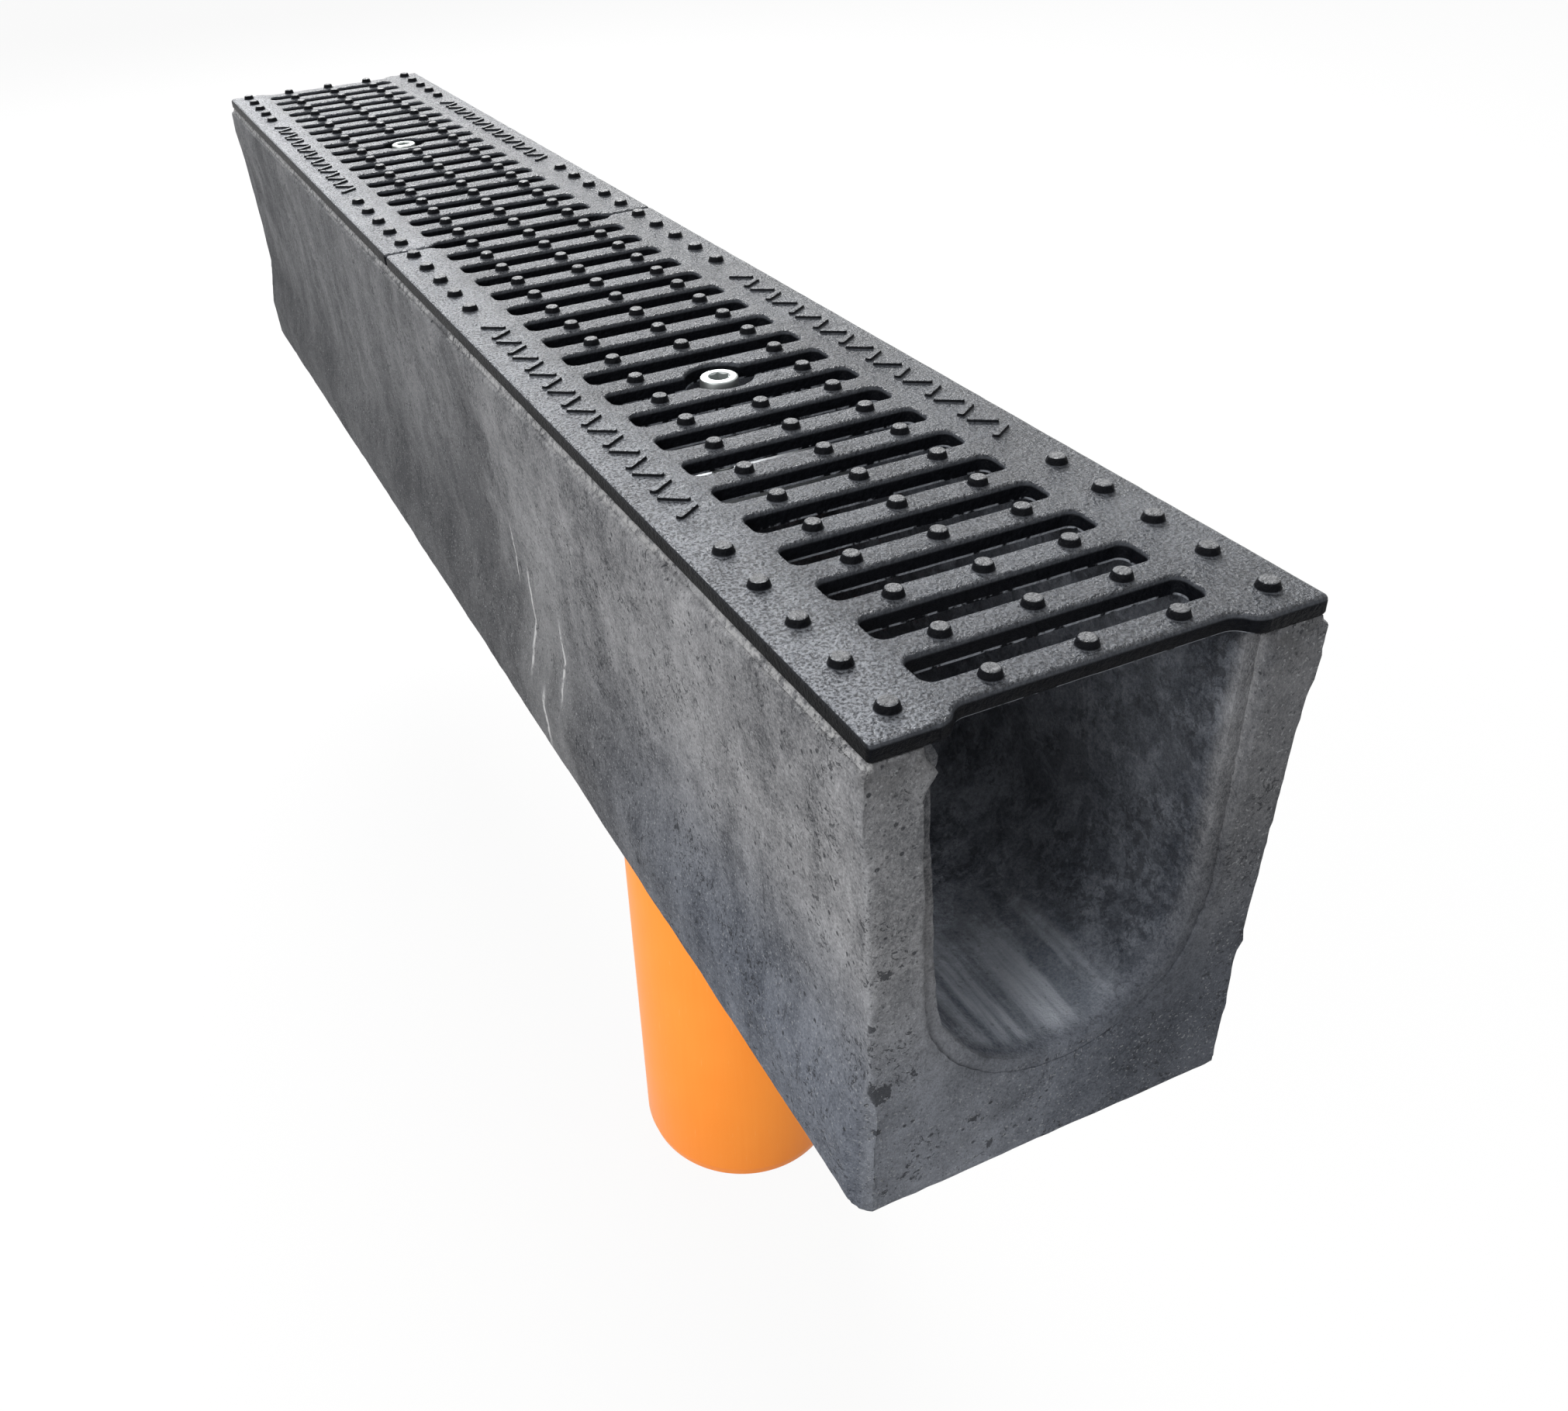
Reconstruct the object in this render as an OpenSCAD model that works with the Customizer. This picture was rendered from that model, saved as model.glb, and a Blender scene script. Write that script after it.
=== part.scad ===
/* [Channel] */
// Length of one channel, end face to end face
channel_l = 1000; // [960:20:1040]
// Width over the top band of the walls
channel_w = 160; // [156:0.5:180]
// Height of the concrete, underside to wall top
channel_h = 190; // [170:1:260]
// Radius of the round invert, half the nominal bore
invert_r = 50; // [46:0.5:51]
// Thickness of the floor under the invert
floor_t = 45; // [40:1:60]
// Draft of each inner wall from the invert's centre to the wall top
wall_draft = 4.5; // [2:0.5:6]
// Height of the plumb band at the wall top
band_h = 18; // [10:1:30]
// Height of the waist above the underside
waist_z = 65; // [55:1:80]
// How far the waist is set in from the top band
waist_in = 6; // [2:0.5:7]
// Height of the widest point of the foot
foot_z = 33; // [20:1:45]
// Chamfer along the top outer arrises
arris = 2.5; // [1:0.5:4]
// Radius of the long bottom corners
bottom_r = 6; // [2:0.5:8]

/* [End joint] */
// Width of the rebate round the near mouth
joint_t = 5.5; // [4:0.5:8]
// Depth of the rebate at the wall top
joint_deep = 7; // [4:0.5:10]
// Depth of the rebate under the invert
joint_shallow = 1; // [0.5:0.5:3]
// Room for sealant between tongue and rebate
joint_gap = 1; // [0.5:0.5:2]
// Bevel on the foot's end corners
foot_bevel = 6; // [3:0.5:9]

/* [Grate] */
// Width of a grate
grate_w = 155; // [150:0.5:156]
// Gap between the two grates
grate_gap = 2; // [1:0.5:5]
// Thickness of the grate's rim
rim_t = 7; // [5:0.5:10]
// Depth of the bars at mid span
bar_deep = 15; // [12:0.5:20]
// Number of bars on one grate
bars = 20; // [18:2:20]
// Width of a bar in its upper tier
bar_w = 12; // [10:0.5:14]
// Width of a bar in its lower tier
bar_low_w = 10; // [8:0.5:12]
// Length of a slot
slot_l = 97; // [90:1:100]
// Corner radius of a slot
slot_r = 3.5; // [3:0.5:6]
// How far an end bar is set back from the grate's end
end_setback = 6; // [4:0.5:8]
// Rise of the bars' underside toward the walls
bar_arch = 3; // [1:0.5:4]
// Thickness of the locating skirts inside the walls
skirt_t = 3.5; // [2.5:0.5:5]

/* [Studs and ribs] */
// Base diameter of a stud
stud_d = 8; // [6:0.5:9]
// Top diameter of a stud
stud_top_d = 5; // [3:0.5:6]
// Height of a stud
stud_h = 3; // [1.5:0.5:4]
// Offset of the two outer stud columns on the bars
stud_x = 32; // [28:0.5:36]
// Offset of the stud rows on the rims
rim_stud_x = 64.5; // [60:0.5:68]
// Studs at each end of a rim
rim_studs = 5; // [3:1:6]
// Raised ribs along the middle of a rim
rim_ribs = 20; // [10:1:24]
// Length of a raised rib
rim_rib_l = 12; // [8:0.5:14]
// Height of a raised rib
rim_rib_h = 1.4; // [0.8:0.2:2]

/* [Locking] */
// Diameter of the bolt's shank
bolt_d = 10; // [8:0.5:12]
// Diameter of the bolt's head
bolt_head_d = 16; // [14:0.5:18]
// Height of the bolt's head
bolt_head_h = 10; // [8:0.5:12]
// Length of the bolt's shank
bolt_l = 56; // [50:1:60]
// Width across flats of the head's socket
hex_af = 8; // [6:0.5:8]
// How far the head's top lies below the grate's top
head_drop = 0.5; // [0:0.5:2]
// Radius of the bolt's pocket
pocket_r = 14; // [12:0.5:15]
// Thickness of the pocket's floor
seat_t = 6; // [5:0.5:8]
// Width of the locking bar
lock_w = 26; // [24:0.5:30]
// Height of the locking bar
lock_h = 14; // [12:0.5:16]
// Wall thickness of the locking bar
lock_t = 4; // [3:0.5:4]
// How far the bar's ends reach into the walls
lock_reach = 7; // [5:0.5:9]
// Depth of the wall pockets' roof below the wall top
lock_roof_down = 39; // [38:0.5:42]

/* [Outlet] */
// Outer diameter of the outlet pipe
pipe_d = 110; // [100:1:112]
// Wall thickness of the outlet pipe
pipe_t = 3.2; // [2.5:0.1:4]
// How far the pipe hangs below the channel
pipe_drop = 260; // [150:5:400]
// Thickness of the seal's body
seal_t = 4; // [3:0.5:5]
// Depth of the outlet's socket in the floor
socket_deep = 34; // [28:1:36]
// Distance of the outlet from the middle of the channel
outlet_y = 240; // [200:1:300]

/* [Hidden] */
$fn = 64;

half_w = channel_w / 2;
half_l = channel_l / 2;
invert_z = floor_t + invert_r;
mouth_half = invert_r + wall_draft;
top_z = channel_h + rim_t;
grate_l = half_l - grate_gap / 2;
grate_y = half_l - grate_l / 2;
bar_pitch = half_l / bars;
first_bar = (bars - 1) * bar_pitch / 2;
slot_w = bar_pitch - bar_w;
skirt_x = slot_l / 2 + skirt_t;
head_z = top_z - head_drop;
washer_d = 20;
washer_t = 2;
seat_z = head_z - bolt_head_h - washer_t;
lock_roof_z = channel_h - lock_roof_down;
lock_half = invert_r + (lock_roof_z - invert_z) / (channel_h - invert_z) * wall_draft + lock_reach;
lock_play = 0.3;
lock_z = lock_roof_z - lock_play - lock_h;
pocket_play = 1;
nut_af = 17;
nut_h = 8;
nut_play = 0.05;
nut_z = lock_z + lock_h - lock_t - nut_h;
pipe_r = pipe_d / 2;
seal_r = pipe_r + seal_t;
throat_r = pipe_r - pipe_t - 4;
pipe_in = socket_deep - 2;
spigot_bevel = 6;
neck_z = -6;
neck_in = 0.8;
neck_r = pipe_r - neck_in;
// How far the underside's edges and the foot of the band's slope are set in
sole_in = 1.5;
slope_in = 2.5;
slope_h = 22;

// One side of the channel's section, from the underside up to the wall's outer top corner
function side_points() = concat(
    [for (a = [-90 : 15 : 0])
        [half_w - sole_in - bottom_r + bottom_r * cos(a), bottom_r + bottom_r * sin(a)]],
    [[half_w, foot_z],
     [half_w - waist_in, waist_z],
     [half_w - slope_in, channel_h - band_h - slope_h],
     [half_w, channel_h - band_h],
     [half_w, channel_h - arris],
     [half_w - arris, channel_h]]);

function mirrored(points) = [for (i = [len(points) - 1 : -1 : 0]) [-points[i][0], points[i][1]]];

// The channel's clear bore, grown by a margin all round
module bore_profile(grow) {
    translate([0, invert_z]) circle(r = invert_r + grow, $fn = 96);
    polygon([[-invert_r - grow, invert_z], [invert_r + grow, invert_z],
             [mouth_half + grow, channel_h], [mouth_half + grow, channel_h + 20],
             [-mouth_half - grow, channel_h + 20], [-mouth_half - grow, channel_h]]);
}

// A profile drawn in width and height, run along the channel
module along(from_y, to_y) {
    translate([0, to_y, 0]) rotate([90, 0, 0]) linear_extrude(to_y - from_y) children();
}

// A wedge as deep as low at the floor and as high at the wall top, going along +Y from end_y
module joint_wedge(end_y, low, high) {
    rise = (high - low) / (channel_h - floor_t);
    z0 = floor_t - joint_t - 5;
    z1 = channel_h + 20;
    translate([-half_w, 0, 0]) rotate([90, 0, 90]) linear_extrude(channel_w)
        polygon([[end_y - 1, z0], [end_y + low + rise * (z0 - floor_t), z0],
                 [end_y + low + rise * (z1 - floor_t), z1], [end_y - 1, z1]]);
}

module joint_rebate() {
    intersection() {
        along(-half_l - 2, -half_l + 20) bore_profile(joint_t);
        joint_wedge(-half_l, joint_shallow, joint_deep);
    }
}

module joint_tongue() {
    intersection() {
        along(half_l - 1, half_l + 20) difference() {
            bore_profile(joint_t - joint_gap);
            bore_profile(0);
            translate([-half_w, channel_h]) square([channel_w, 30]);
        }
        joint_wedge(half_l, joint_shallow / 2, joint_deep - joint_gap);
    }
}

// The foot's upright end corners, cut off at 45 degrees
module foot_bevels() {
    for (side = [-1, 1], end = [-1, 1])
        translate([side * (half_w - waist_in + foot_bevel), end * half_l, -1])
            rotate(45) translate([-foot_bevel, -foot_bevel] * sqrt(2) / 2)
                cube([foot_bevel * sqrt(2), foot_bevel * sqrt(2), waist_z - 3]);
}

module channel_body() {
    color("gray") difference() {
        union() {
            along(-half_l, half_l) difference() {
                polygon(concat(side_points(), mirrored(side_points())));
                bore_profile(0);
            }
            joint_tongue();
        }
        joint_rebate();
        foot_bevels();
        for (end = [-1, 1])
            translate([0, end * grate_y, lock_z - 2])
                cylinder(r = lock_half + pocket_play, h = lock_roof_z - lock_z + 2, $fn = 96);
        translate([0, -outlet_y, -1]) cylinder(r = seal_r, h = socket_deep + 1, $fn = 96);
        translate([0, -outlet_y, 0]) cylinder(r = throat_r, h = invert_z, $fn = 96);
    }
}

// A rectangle with round corners, made only of squares and circles
module rounded_rect(w, l, r) {
    square([w - 2 * r, l], center = true);
    square([w, l - 2 * r], center = true);
    for (x = [-1, 1], y = [-1, 1])
        translate([x * (w / 2 - r), y * (l / 2 - r)]) circle(r = r, $fn = 32);
}

// The notch in front of an end bar, with its mouth eased into the corner ears
module end_notch() {
    ease = 3;
    rounded_rect(slot_l, 2 * end_setback, slot_r);
    for (side = [-1, 1]) difference() {
        translate([side * slot_l / 2 - (side < 0 ? ease : 0), -ease]) square([ease, 2 * ease]);
        for (end = [-1, 1])
            translate([side * (slot_l / 2 + ease), end * ease]) circle(r = ease, $fn = 32);
    }
}

module grate_outline() {
    difference() {
        rounded_rect(grate_w, grate_l, 2);
        for (i = [1 : bars - 1])
            translate([0, (i - bars / 2) * bar_pitch]) rounded_rect(slot_l, slot_w, slot_r);
        for (end = [-1, 1]) translate([0, end * grate_l / 2]) end_notch();
        circle(r = pocket_r);
    }
}

// The lower tier of one bar, its underside rising toward the walls
module bar_keel() {
    reach = skirt_x - 0.5;
    arch_r = (reach * reach + bar_arch * bar_arch) / (2 * bar_arch);
    rotate([90, 0, 0]) linear_extrude(bar_low_w, center = true) intersection() {
        translate([-reach, top_z - bar_deep]) square([2 * reach, bar_deep - 1]);
        translate([0, top_z - bar_deep + arch_r]) circle(r = arch_r, $fn = 360);
    }
}

module stud() {
    translate([0, 0, top_z - 0.5])
        cylinder(d1 = stud_d + 0.5 * (stud_d - stud_top_d) / stud_h,
                 d2 = stud_top_d, h = stud_h + 0.5, $fn = 24);
}

module bar_studs() {
    for (i = [0 : bars - 1], x = [-1, 0, 1])
        if (x != 0 || abs(i - (bars - 1) / 2) > 1)
            translate([x * stud_x, i * bar_pitch - first_bar, 0]) stud();
}

module rim_pattern() {
    run = grate_l - 2 * (rim_studs + 0.5) * bar_pitch;
    for (side = [-1, 1]) {
        for (i = [0 : rim_studs - 1], end = [-1, 1])
            translate([side * rim_stud_x, end * (first_bar - i * bar_pitch), 0]) stud();
        for (i = [0 : rim_ribs - 1])
            translate([side * (rim_stud_x - 1.5), -run / 2 + (i + 0.5) * run / rim_ribs, top_z - 0.5])
                rotate(i % 2 == 0 ? 35 : -35)
                    translate([-rim_rib_l / 2, -1.6, 0]) cube([rim_rib_l, 3.2, rim_rib_h + 0.5]);
    }
}

module grate() {
    color([0.09, 0.09, 0.1]) difference() {
        union() {
            translate([0, 0, channel_h]) linear_extrude(rim_t) grate_outline();
            for (i = [0 : bars - 1]) translate([0, i * bar_pitch - first_bar, 0]) bar_keel();
            for (side = [-1, 1])
                translate([side * (slot_l / 2 + skirt_t / 2), 0, channel_h - 2.5])
                    cube([skirt_t, grate_l - 2 * end_setback - 1, 7], center = true);
            translate([0, 0, seat_z - seat_t]) cylinder(r = pocket_r + 3, h = channel_h - seat_z + seat_t);
            bar_studs();
            rim_pattern();
        }
        translate([0, 0, seat_z]) cylinder(r = pocket_r, h = 40);
        translate([0, 0, seat_z - seat_t - 1]) cylinder(d = bolt_d + 1, h = seat_t + 2);
    }
}

module bolt() {
    color("gainsboro") difference() {
        union() {
            translate([0, 0, head_z - bolt_head_h]) cylinder(d = bolt_head_d, h = bolt_head_h);
            translate([0, 0, head_z - bolt_head_h - bolt_l]) cylinder(d = bolt_d, h = bolt_l + 1);
        }
        translate([0, 0, head_z - bolt_head_h / 2])
            cylinder(d = hex_af / cos(30), h = bolt_head_h, $fn = 6);
    }
}

module washer() {
    color("silver") translate([0, 0, seat_z]) difference() {
        cylinder(d = washer_d, h = washer_t);
        translate([0, 0, -1]) cylinder(d = bolt_d + 0.5, h = washer_t + 2);
    }
}

// A steel bar folded to an inverted trough, its ends rounded to swing in the wall pockets
module lock_bar() {
    color("lightslategray") difference() {
        intersection() {
            translate([-lock_half, -lock_w / 2, lock_z]) cube([2 * lock_half, lock_w, lock_h]);
            translate([0, 0, lock_z - 1]) cylinder(r = lock_half, h = lock_h + 2, $fn = 96);
        }
        translate([-lock_half - 1, lock_t - lock_w / 2, lock_z - 1])
            cube([2 * lock_half + 2, lock_w - 2 * lock_t, lock_h - lock_t + 1]);
        translate([0, 0, lock_z]) cylinder(d = bolt_d + 1, h = lock_h + 1);
    }
}

module nut() {
    color("silver") translate([0, 0, nut_z]) difference() {
        cylinder(d = nut_af / cos(30), h = nut_h, $fn = 6);
        translate([0, 0, -1]) cylinder(d = bolt_d + 2 * nut_play, h = nut_h + 2);
    }
}

// A rubber ring with two lips that bear on the pipe
module outlet_seal() {
    color([0.12, 0.12, 0.12]) translate([0, -outlet_y, 0]) rotate_extrude($fn = 96)
        polygon([[seal_r, 1], [seal_r, socket_deep - 2], [seal_r - 2, socket_deep - 2],
                 [neck_r, socket_deep - 8], [seal_r - 1.5, socket_deep - 10],
                 [seal_r - 1.5, 14], [neck_r, 10], [neck_r, 4], [seal_r - 1.5, 1]]);
}

// A plain pipe with a bevelled lower end, turned down a little where it goes into the socket
module outlet_pipe() {
    color([1, 0.6, 0.28]) translate([0, -outlet_y, 0]) rotate_extrude($fn = 96)
        polygon([[pipe_r - pipe_t, -pipe_drop], [pipe_r - 1.6, -pipe_drop],
                 [pipe_r, -pipe_drop + spigot_bevel], [pipe_r, neck_z],
                 [neck_r, neck_z + neck_in], [neck_r, pipe_in],
                 [pipe_r - pipe_t, pipe_in]]);
}

module at_near() { translate([0, -grate_y, 0]) children(); }
module at_far() { translate([0, grate_y, 0]) children(); }

channel_body();
at_near() grate();  // grate_near
at_far() grate();  // grate_far
at_near() bolt();  // bolt_near
at_far() bolt();  // bolt_far
at_near() washer();  // washer_near
at_far() washer();  // washer_far
at_near() lock_bar();  // lock_bar_near
at_far() lock_bar();  // lock_bar_far
at_near() nut();  // nut_near
at_far() nut();  // nut_far
outlet_seal();
outlet_pipe();
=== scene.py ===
import math

import bmesh
import bpy
import numpy as np
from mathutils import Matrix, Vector, noise
from mathutils.geometry import delaunay_2d_cdt


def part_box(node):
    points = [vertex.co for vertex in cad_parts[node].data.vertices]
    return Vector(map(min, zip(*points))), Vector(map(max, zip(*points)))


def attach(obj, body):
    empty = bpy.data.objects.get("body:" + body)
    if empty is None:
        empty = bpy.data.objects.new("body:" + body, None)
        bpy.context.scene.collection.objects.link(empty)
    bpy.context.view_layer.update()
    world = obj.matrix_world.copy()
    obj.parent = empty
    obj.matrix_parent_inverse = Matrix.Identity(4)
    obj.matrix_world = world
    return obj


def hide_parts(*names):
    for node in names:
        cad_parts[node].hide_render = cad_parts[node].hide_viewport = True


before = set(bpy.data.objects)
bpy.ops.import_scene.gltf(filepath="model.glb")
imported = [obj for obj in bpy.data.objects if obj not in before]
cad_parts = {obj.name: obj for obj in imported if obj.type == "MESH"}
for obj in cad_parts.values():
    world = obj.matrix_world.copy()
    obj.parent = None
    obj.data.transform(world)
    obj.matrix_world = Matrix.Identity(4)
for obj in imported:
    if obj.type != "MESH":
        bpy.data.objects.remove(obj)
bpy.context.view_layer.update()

# Sizes in millimetres, the same as the solids'
HALF_L = 500.0
HALF_W = 80.0
WALL_TOP = 190.0
INVERT_R = 50.0
INVERT_Z = 95.0
MOUTH_HALF = 54.5
JOINT_T = 5.5
SOCKET_R = 59
SOCKET_ROOF = 34
OUTLET_BORE_R = 47.8
TOP = 197.0
TIER_DEPTH = 15.0
TIER_RISE = 3.0
GRATE_W = 155.0
GRATE_L = 499.0
BARS = 20
PITCH = 25.0
SLOT_HALF_X = 48.5
SLOT_HALF_Y = 6.5
SLOT_R = 3.5
SETBACK = 6.0
NOTCH_X = 49.5
POCKET_R = 14.0
POCKET_WALL = 1.4
STUD_X = 32.0
STUD_R = 3.95
RIM_STUD_X = 64.5
RIM_STUD_R = 4.2
RIM_STUD_BARS = 5
RIB_X = 63.0
RIBS = 20
RIB_TURN = 35
RIB_HALF_L = 6.0
RIB_HALF_W = 1.6
RIB_ROUND = 1.2
SEAT_Z = 184.5
HEAD_Z = 196.5
HEAD_H = 10
KEY_SIZE = 8.0
KEY_DEPTH = 5
SHANK_L = 56
SHANK_R = 4.95
SMOOTH_SHANK = 24
THREAD_STEP = 1.5
LOCK_ROOF = 151.0
LOCK_POCKET_R = 60.65
LOCK_Z = 136.7
LOCK_H = 14
LOCK_HALF = 59.6
NUT_SIZE = 17.0
NUT_H = 8
PIPE_R = 55.0
PIPE_NECK_R = 54.2
PIPE_BORE_R = 51.8
MM = 0.001
# Edges sharper than this stay hard
FACET_DEG = 40
# A smaller radius is a point on the axis
AXIS_R = 1e-6


def middle_y(node):
    """The middle of a solid's box along the channel, in millimetres."""
    low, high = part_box(node)
    return (low.y + high.y) * 500


NEAR_Y = middle_y("grate_near")
FAR_Y = middle_y("grate_far")
PIPE_Y = middle_y("outlet_pipe")
PIPE_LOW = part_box("outlet_pipe")[0].z * 1000


# Camera
camera_data = bpy.data.cameras.new("camera")
camera_data.sensor_width = 36
camera_data.lens = 32.345
camera_data.shift_x = 0.0796
camera_data.shift_y = -0.0198
camera_data.clip_start = 0.02
camera_data.clip_end = 60
camera = bpy.data.objects.new("camera", camera_data)
camera.location = (-0.2311, -0.7508, 0.4143)
camera.rotation_euler = [math.radians(a) for a in (56.556, 3.579, -23.646)]
bpy.context.scene.collection.objects.link(camera)
bpy.context.scene.camera = camera
bpy.context.scene.view_settings.view_transform = "Standard"


# Mesh helpers
def link(made):
    bpy.context.scene.collection.objects.link(made)


def make_object(name, points_mm, faces, material, sharp_deg=FACET_DEG):
    """A closed mesh from points in millimetres, smooth but for edges over sharp_deg."""
    mesh = bpy.data.meshes.new(name)
    mesh.from_pydata((np.asarray(points_mm, float) * MM).tolist(), [], faces)
    mesh.validate()
    work = bmesh.new()
    work.from_mesh(mesh)
    bmesh.ops.recalc_face_normals(work, faces=work.faces)
    work.to_mesh(mesh)
    work.free()
    mesh.shade_smooth()
    mesh.set_sharp_from_angle(angle=math.radians(sharp_deg))
    made = bpy.data.objects.new(name, mesh)
    link(made)
    if material is not None:
        mesh.materials.append(material)
    return made


def combine(base, others, operation, sharp_deg=FACET_DEG):
    """Adds other closed meshes to base, cuts them out of it or keeps what they share, and drops them.

    Blender leaves base as it is, with no more than a warning, when one of the meshes isn't closed.
    """
    for other in others:
        step = base.modifiers.new("combine", "BOOLEAN")
        step.operation = operation
        step.solver = "MANIFOLD"
        step.object = other
        bpy.context.view_layer.update()
        graph = bpy.context.evaluated_depsgraph_get()
        merged = bpy.data.meshes.new_from_object(base.evaluated_get(graph))
        base.modifiers.clear()
        old = base.data
        base.data = merged
        bpy.data.meshes.remove(old)
        bpy.data.objects.remove(other)
    base.data.shade_smooth()
    base.data.set_sharp_from_angle(angle=math.radians(sharp_deg))
    return base


def turned(name, outline, material, y=0.0, sides=96, sharp_deg=FACET_DEG, base=0.0):
    """A solid turned about an upright axis at (0, y); outline is a closed list of (r, z over base)."""
    points = []
    rows = []
    for r, z in outline:
        z += base
        if r < AXIS_R:
            rows.append([len(points)] * sides)
            points.append((0.0, y, z))
            continue
        start = len(points)
        for k in range(sides):
            a = 2 * math.pi * k / sides
            points.append((r * math.cos(a), y + r * math.sin(a), z))
        rows.append(list(range(start, start + sides)))
    faces = []
    closed = outline[0][0] > AXIS_R and outline[-1][0] > AXIS_R
    count = len(rows) if closed else len(rows) - 1
    for i in range(count):
        a = rows[i]
        b = rows[(i + 1) % len(rows)]
        for k in range(sides):
            m = (k + 1) % sides
            ring = [a[k], a[m], b[m], b[k]]
            ring = [v for n, v in enumerate(ring) if v not in ring[:n]]
            if len(ring) > 2:
                faces.append(ring)
    return make_object(name, points, faces, material, sharp_deg)


def prism(name, ring, z0, z1, material=None):
    """An upright prism on a convex ring of (x, y)."""
    n = len(ring)
    points = [(x, y, z0) for x, y in ring] + [(x, y, z1) for x, y in ring]
    faces = [list(range(n)), list(range(n, 2 * n))]
    faces += [[k, (k + 1) % n, (k + 1) % n + n, k + n] for k in range(n)]
    return make_object(name, points, faces, material)


def cos_deg(angle):
    return math.cos(math.radians(angle))


def sin_deg(angle):
    return math.sin(math.radians(angle))


def arc(cx, cy, r, start_deg, end_deg, steps):
    """steps + 1 points on a circle about (cx, cy)."""
    angles = np.radians(np.linspace(start_deg, end_deg, steps + 1))
    return [(cx + r * math.cos(a), cy + r * math.sin(a)) for a in angles]


def upright(row, y):
    """Points from a row of (x, z), at y."""
    return np.column_stack([row[:, 0], np.broadcast_to(y, (len(row),)), row[:, 1]])


def level(ring, z):
    """Points from a ring of (x, y), at z."""
    return np.column_stack([ring, np.broadcast_to(z, (len(ring),))])


def smooth_step(x, low, high):
    """0 below low, 1 above high, smooth between."""
    t = np.clip((x - low) / (high - low), 0, 1)
    return t * t * (3 - 2 * t)


def wobble(points, size, seed):
    """Soft noise from -1 to 1 at each point, with lumps of about that size in millimetres."""
    return np.array([noise.noise((p[0] / size + seed, p[1] / size - seed, p[2] / size)) for p in points])


# Materials
def add_node(tree, kind, inputs=(), **settings):
    """A new shader node; inputs pairs sockets, by name or place, with other sockets or plain values."""
    made = tree.nodes.new("ShaderNode" + kind)
    for key, value in settings.items():
        setattr(made, key, value)
    for key, value in dict(inputs).items():
        feed(tree, value, made.inputs[key])
    return made


def feed(tree, value, socket):
    """Links or sets a socket; a colour of three parts gets a fourth."""
    if isinstance(value, bpy.types.NodeSocket):
        tree.links.new(value, socket)
    elif isinstance(value, tuple) and len(value) == 3 and len(socket.default_value) == 4:
        socket.default_value = (*value, 1)
    else:
        socket.default_value = value


# Places of a Mix node's colour sockets, which share their names with its other sockets
COLOR_A = 6
COLOR_B = 7
COLOR_RESULT = 2


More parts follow.
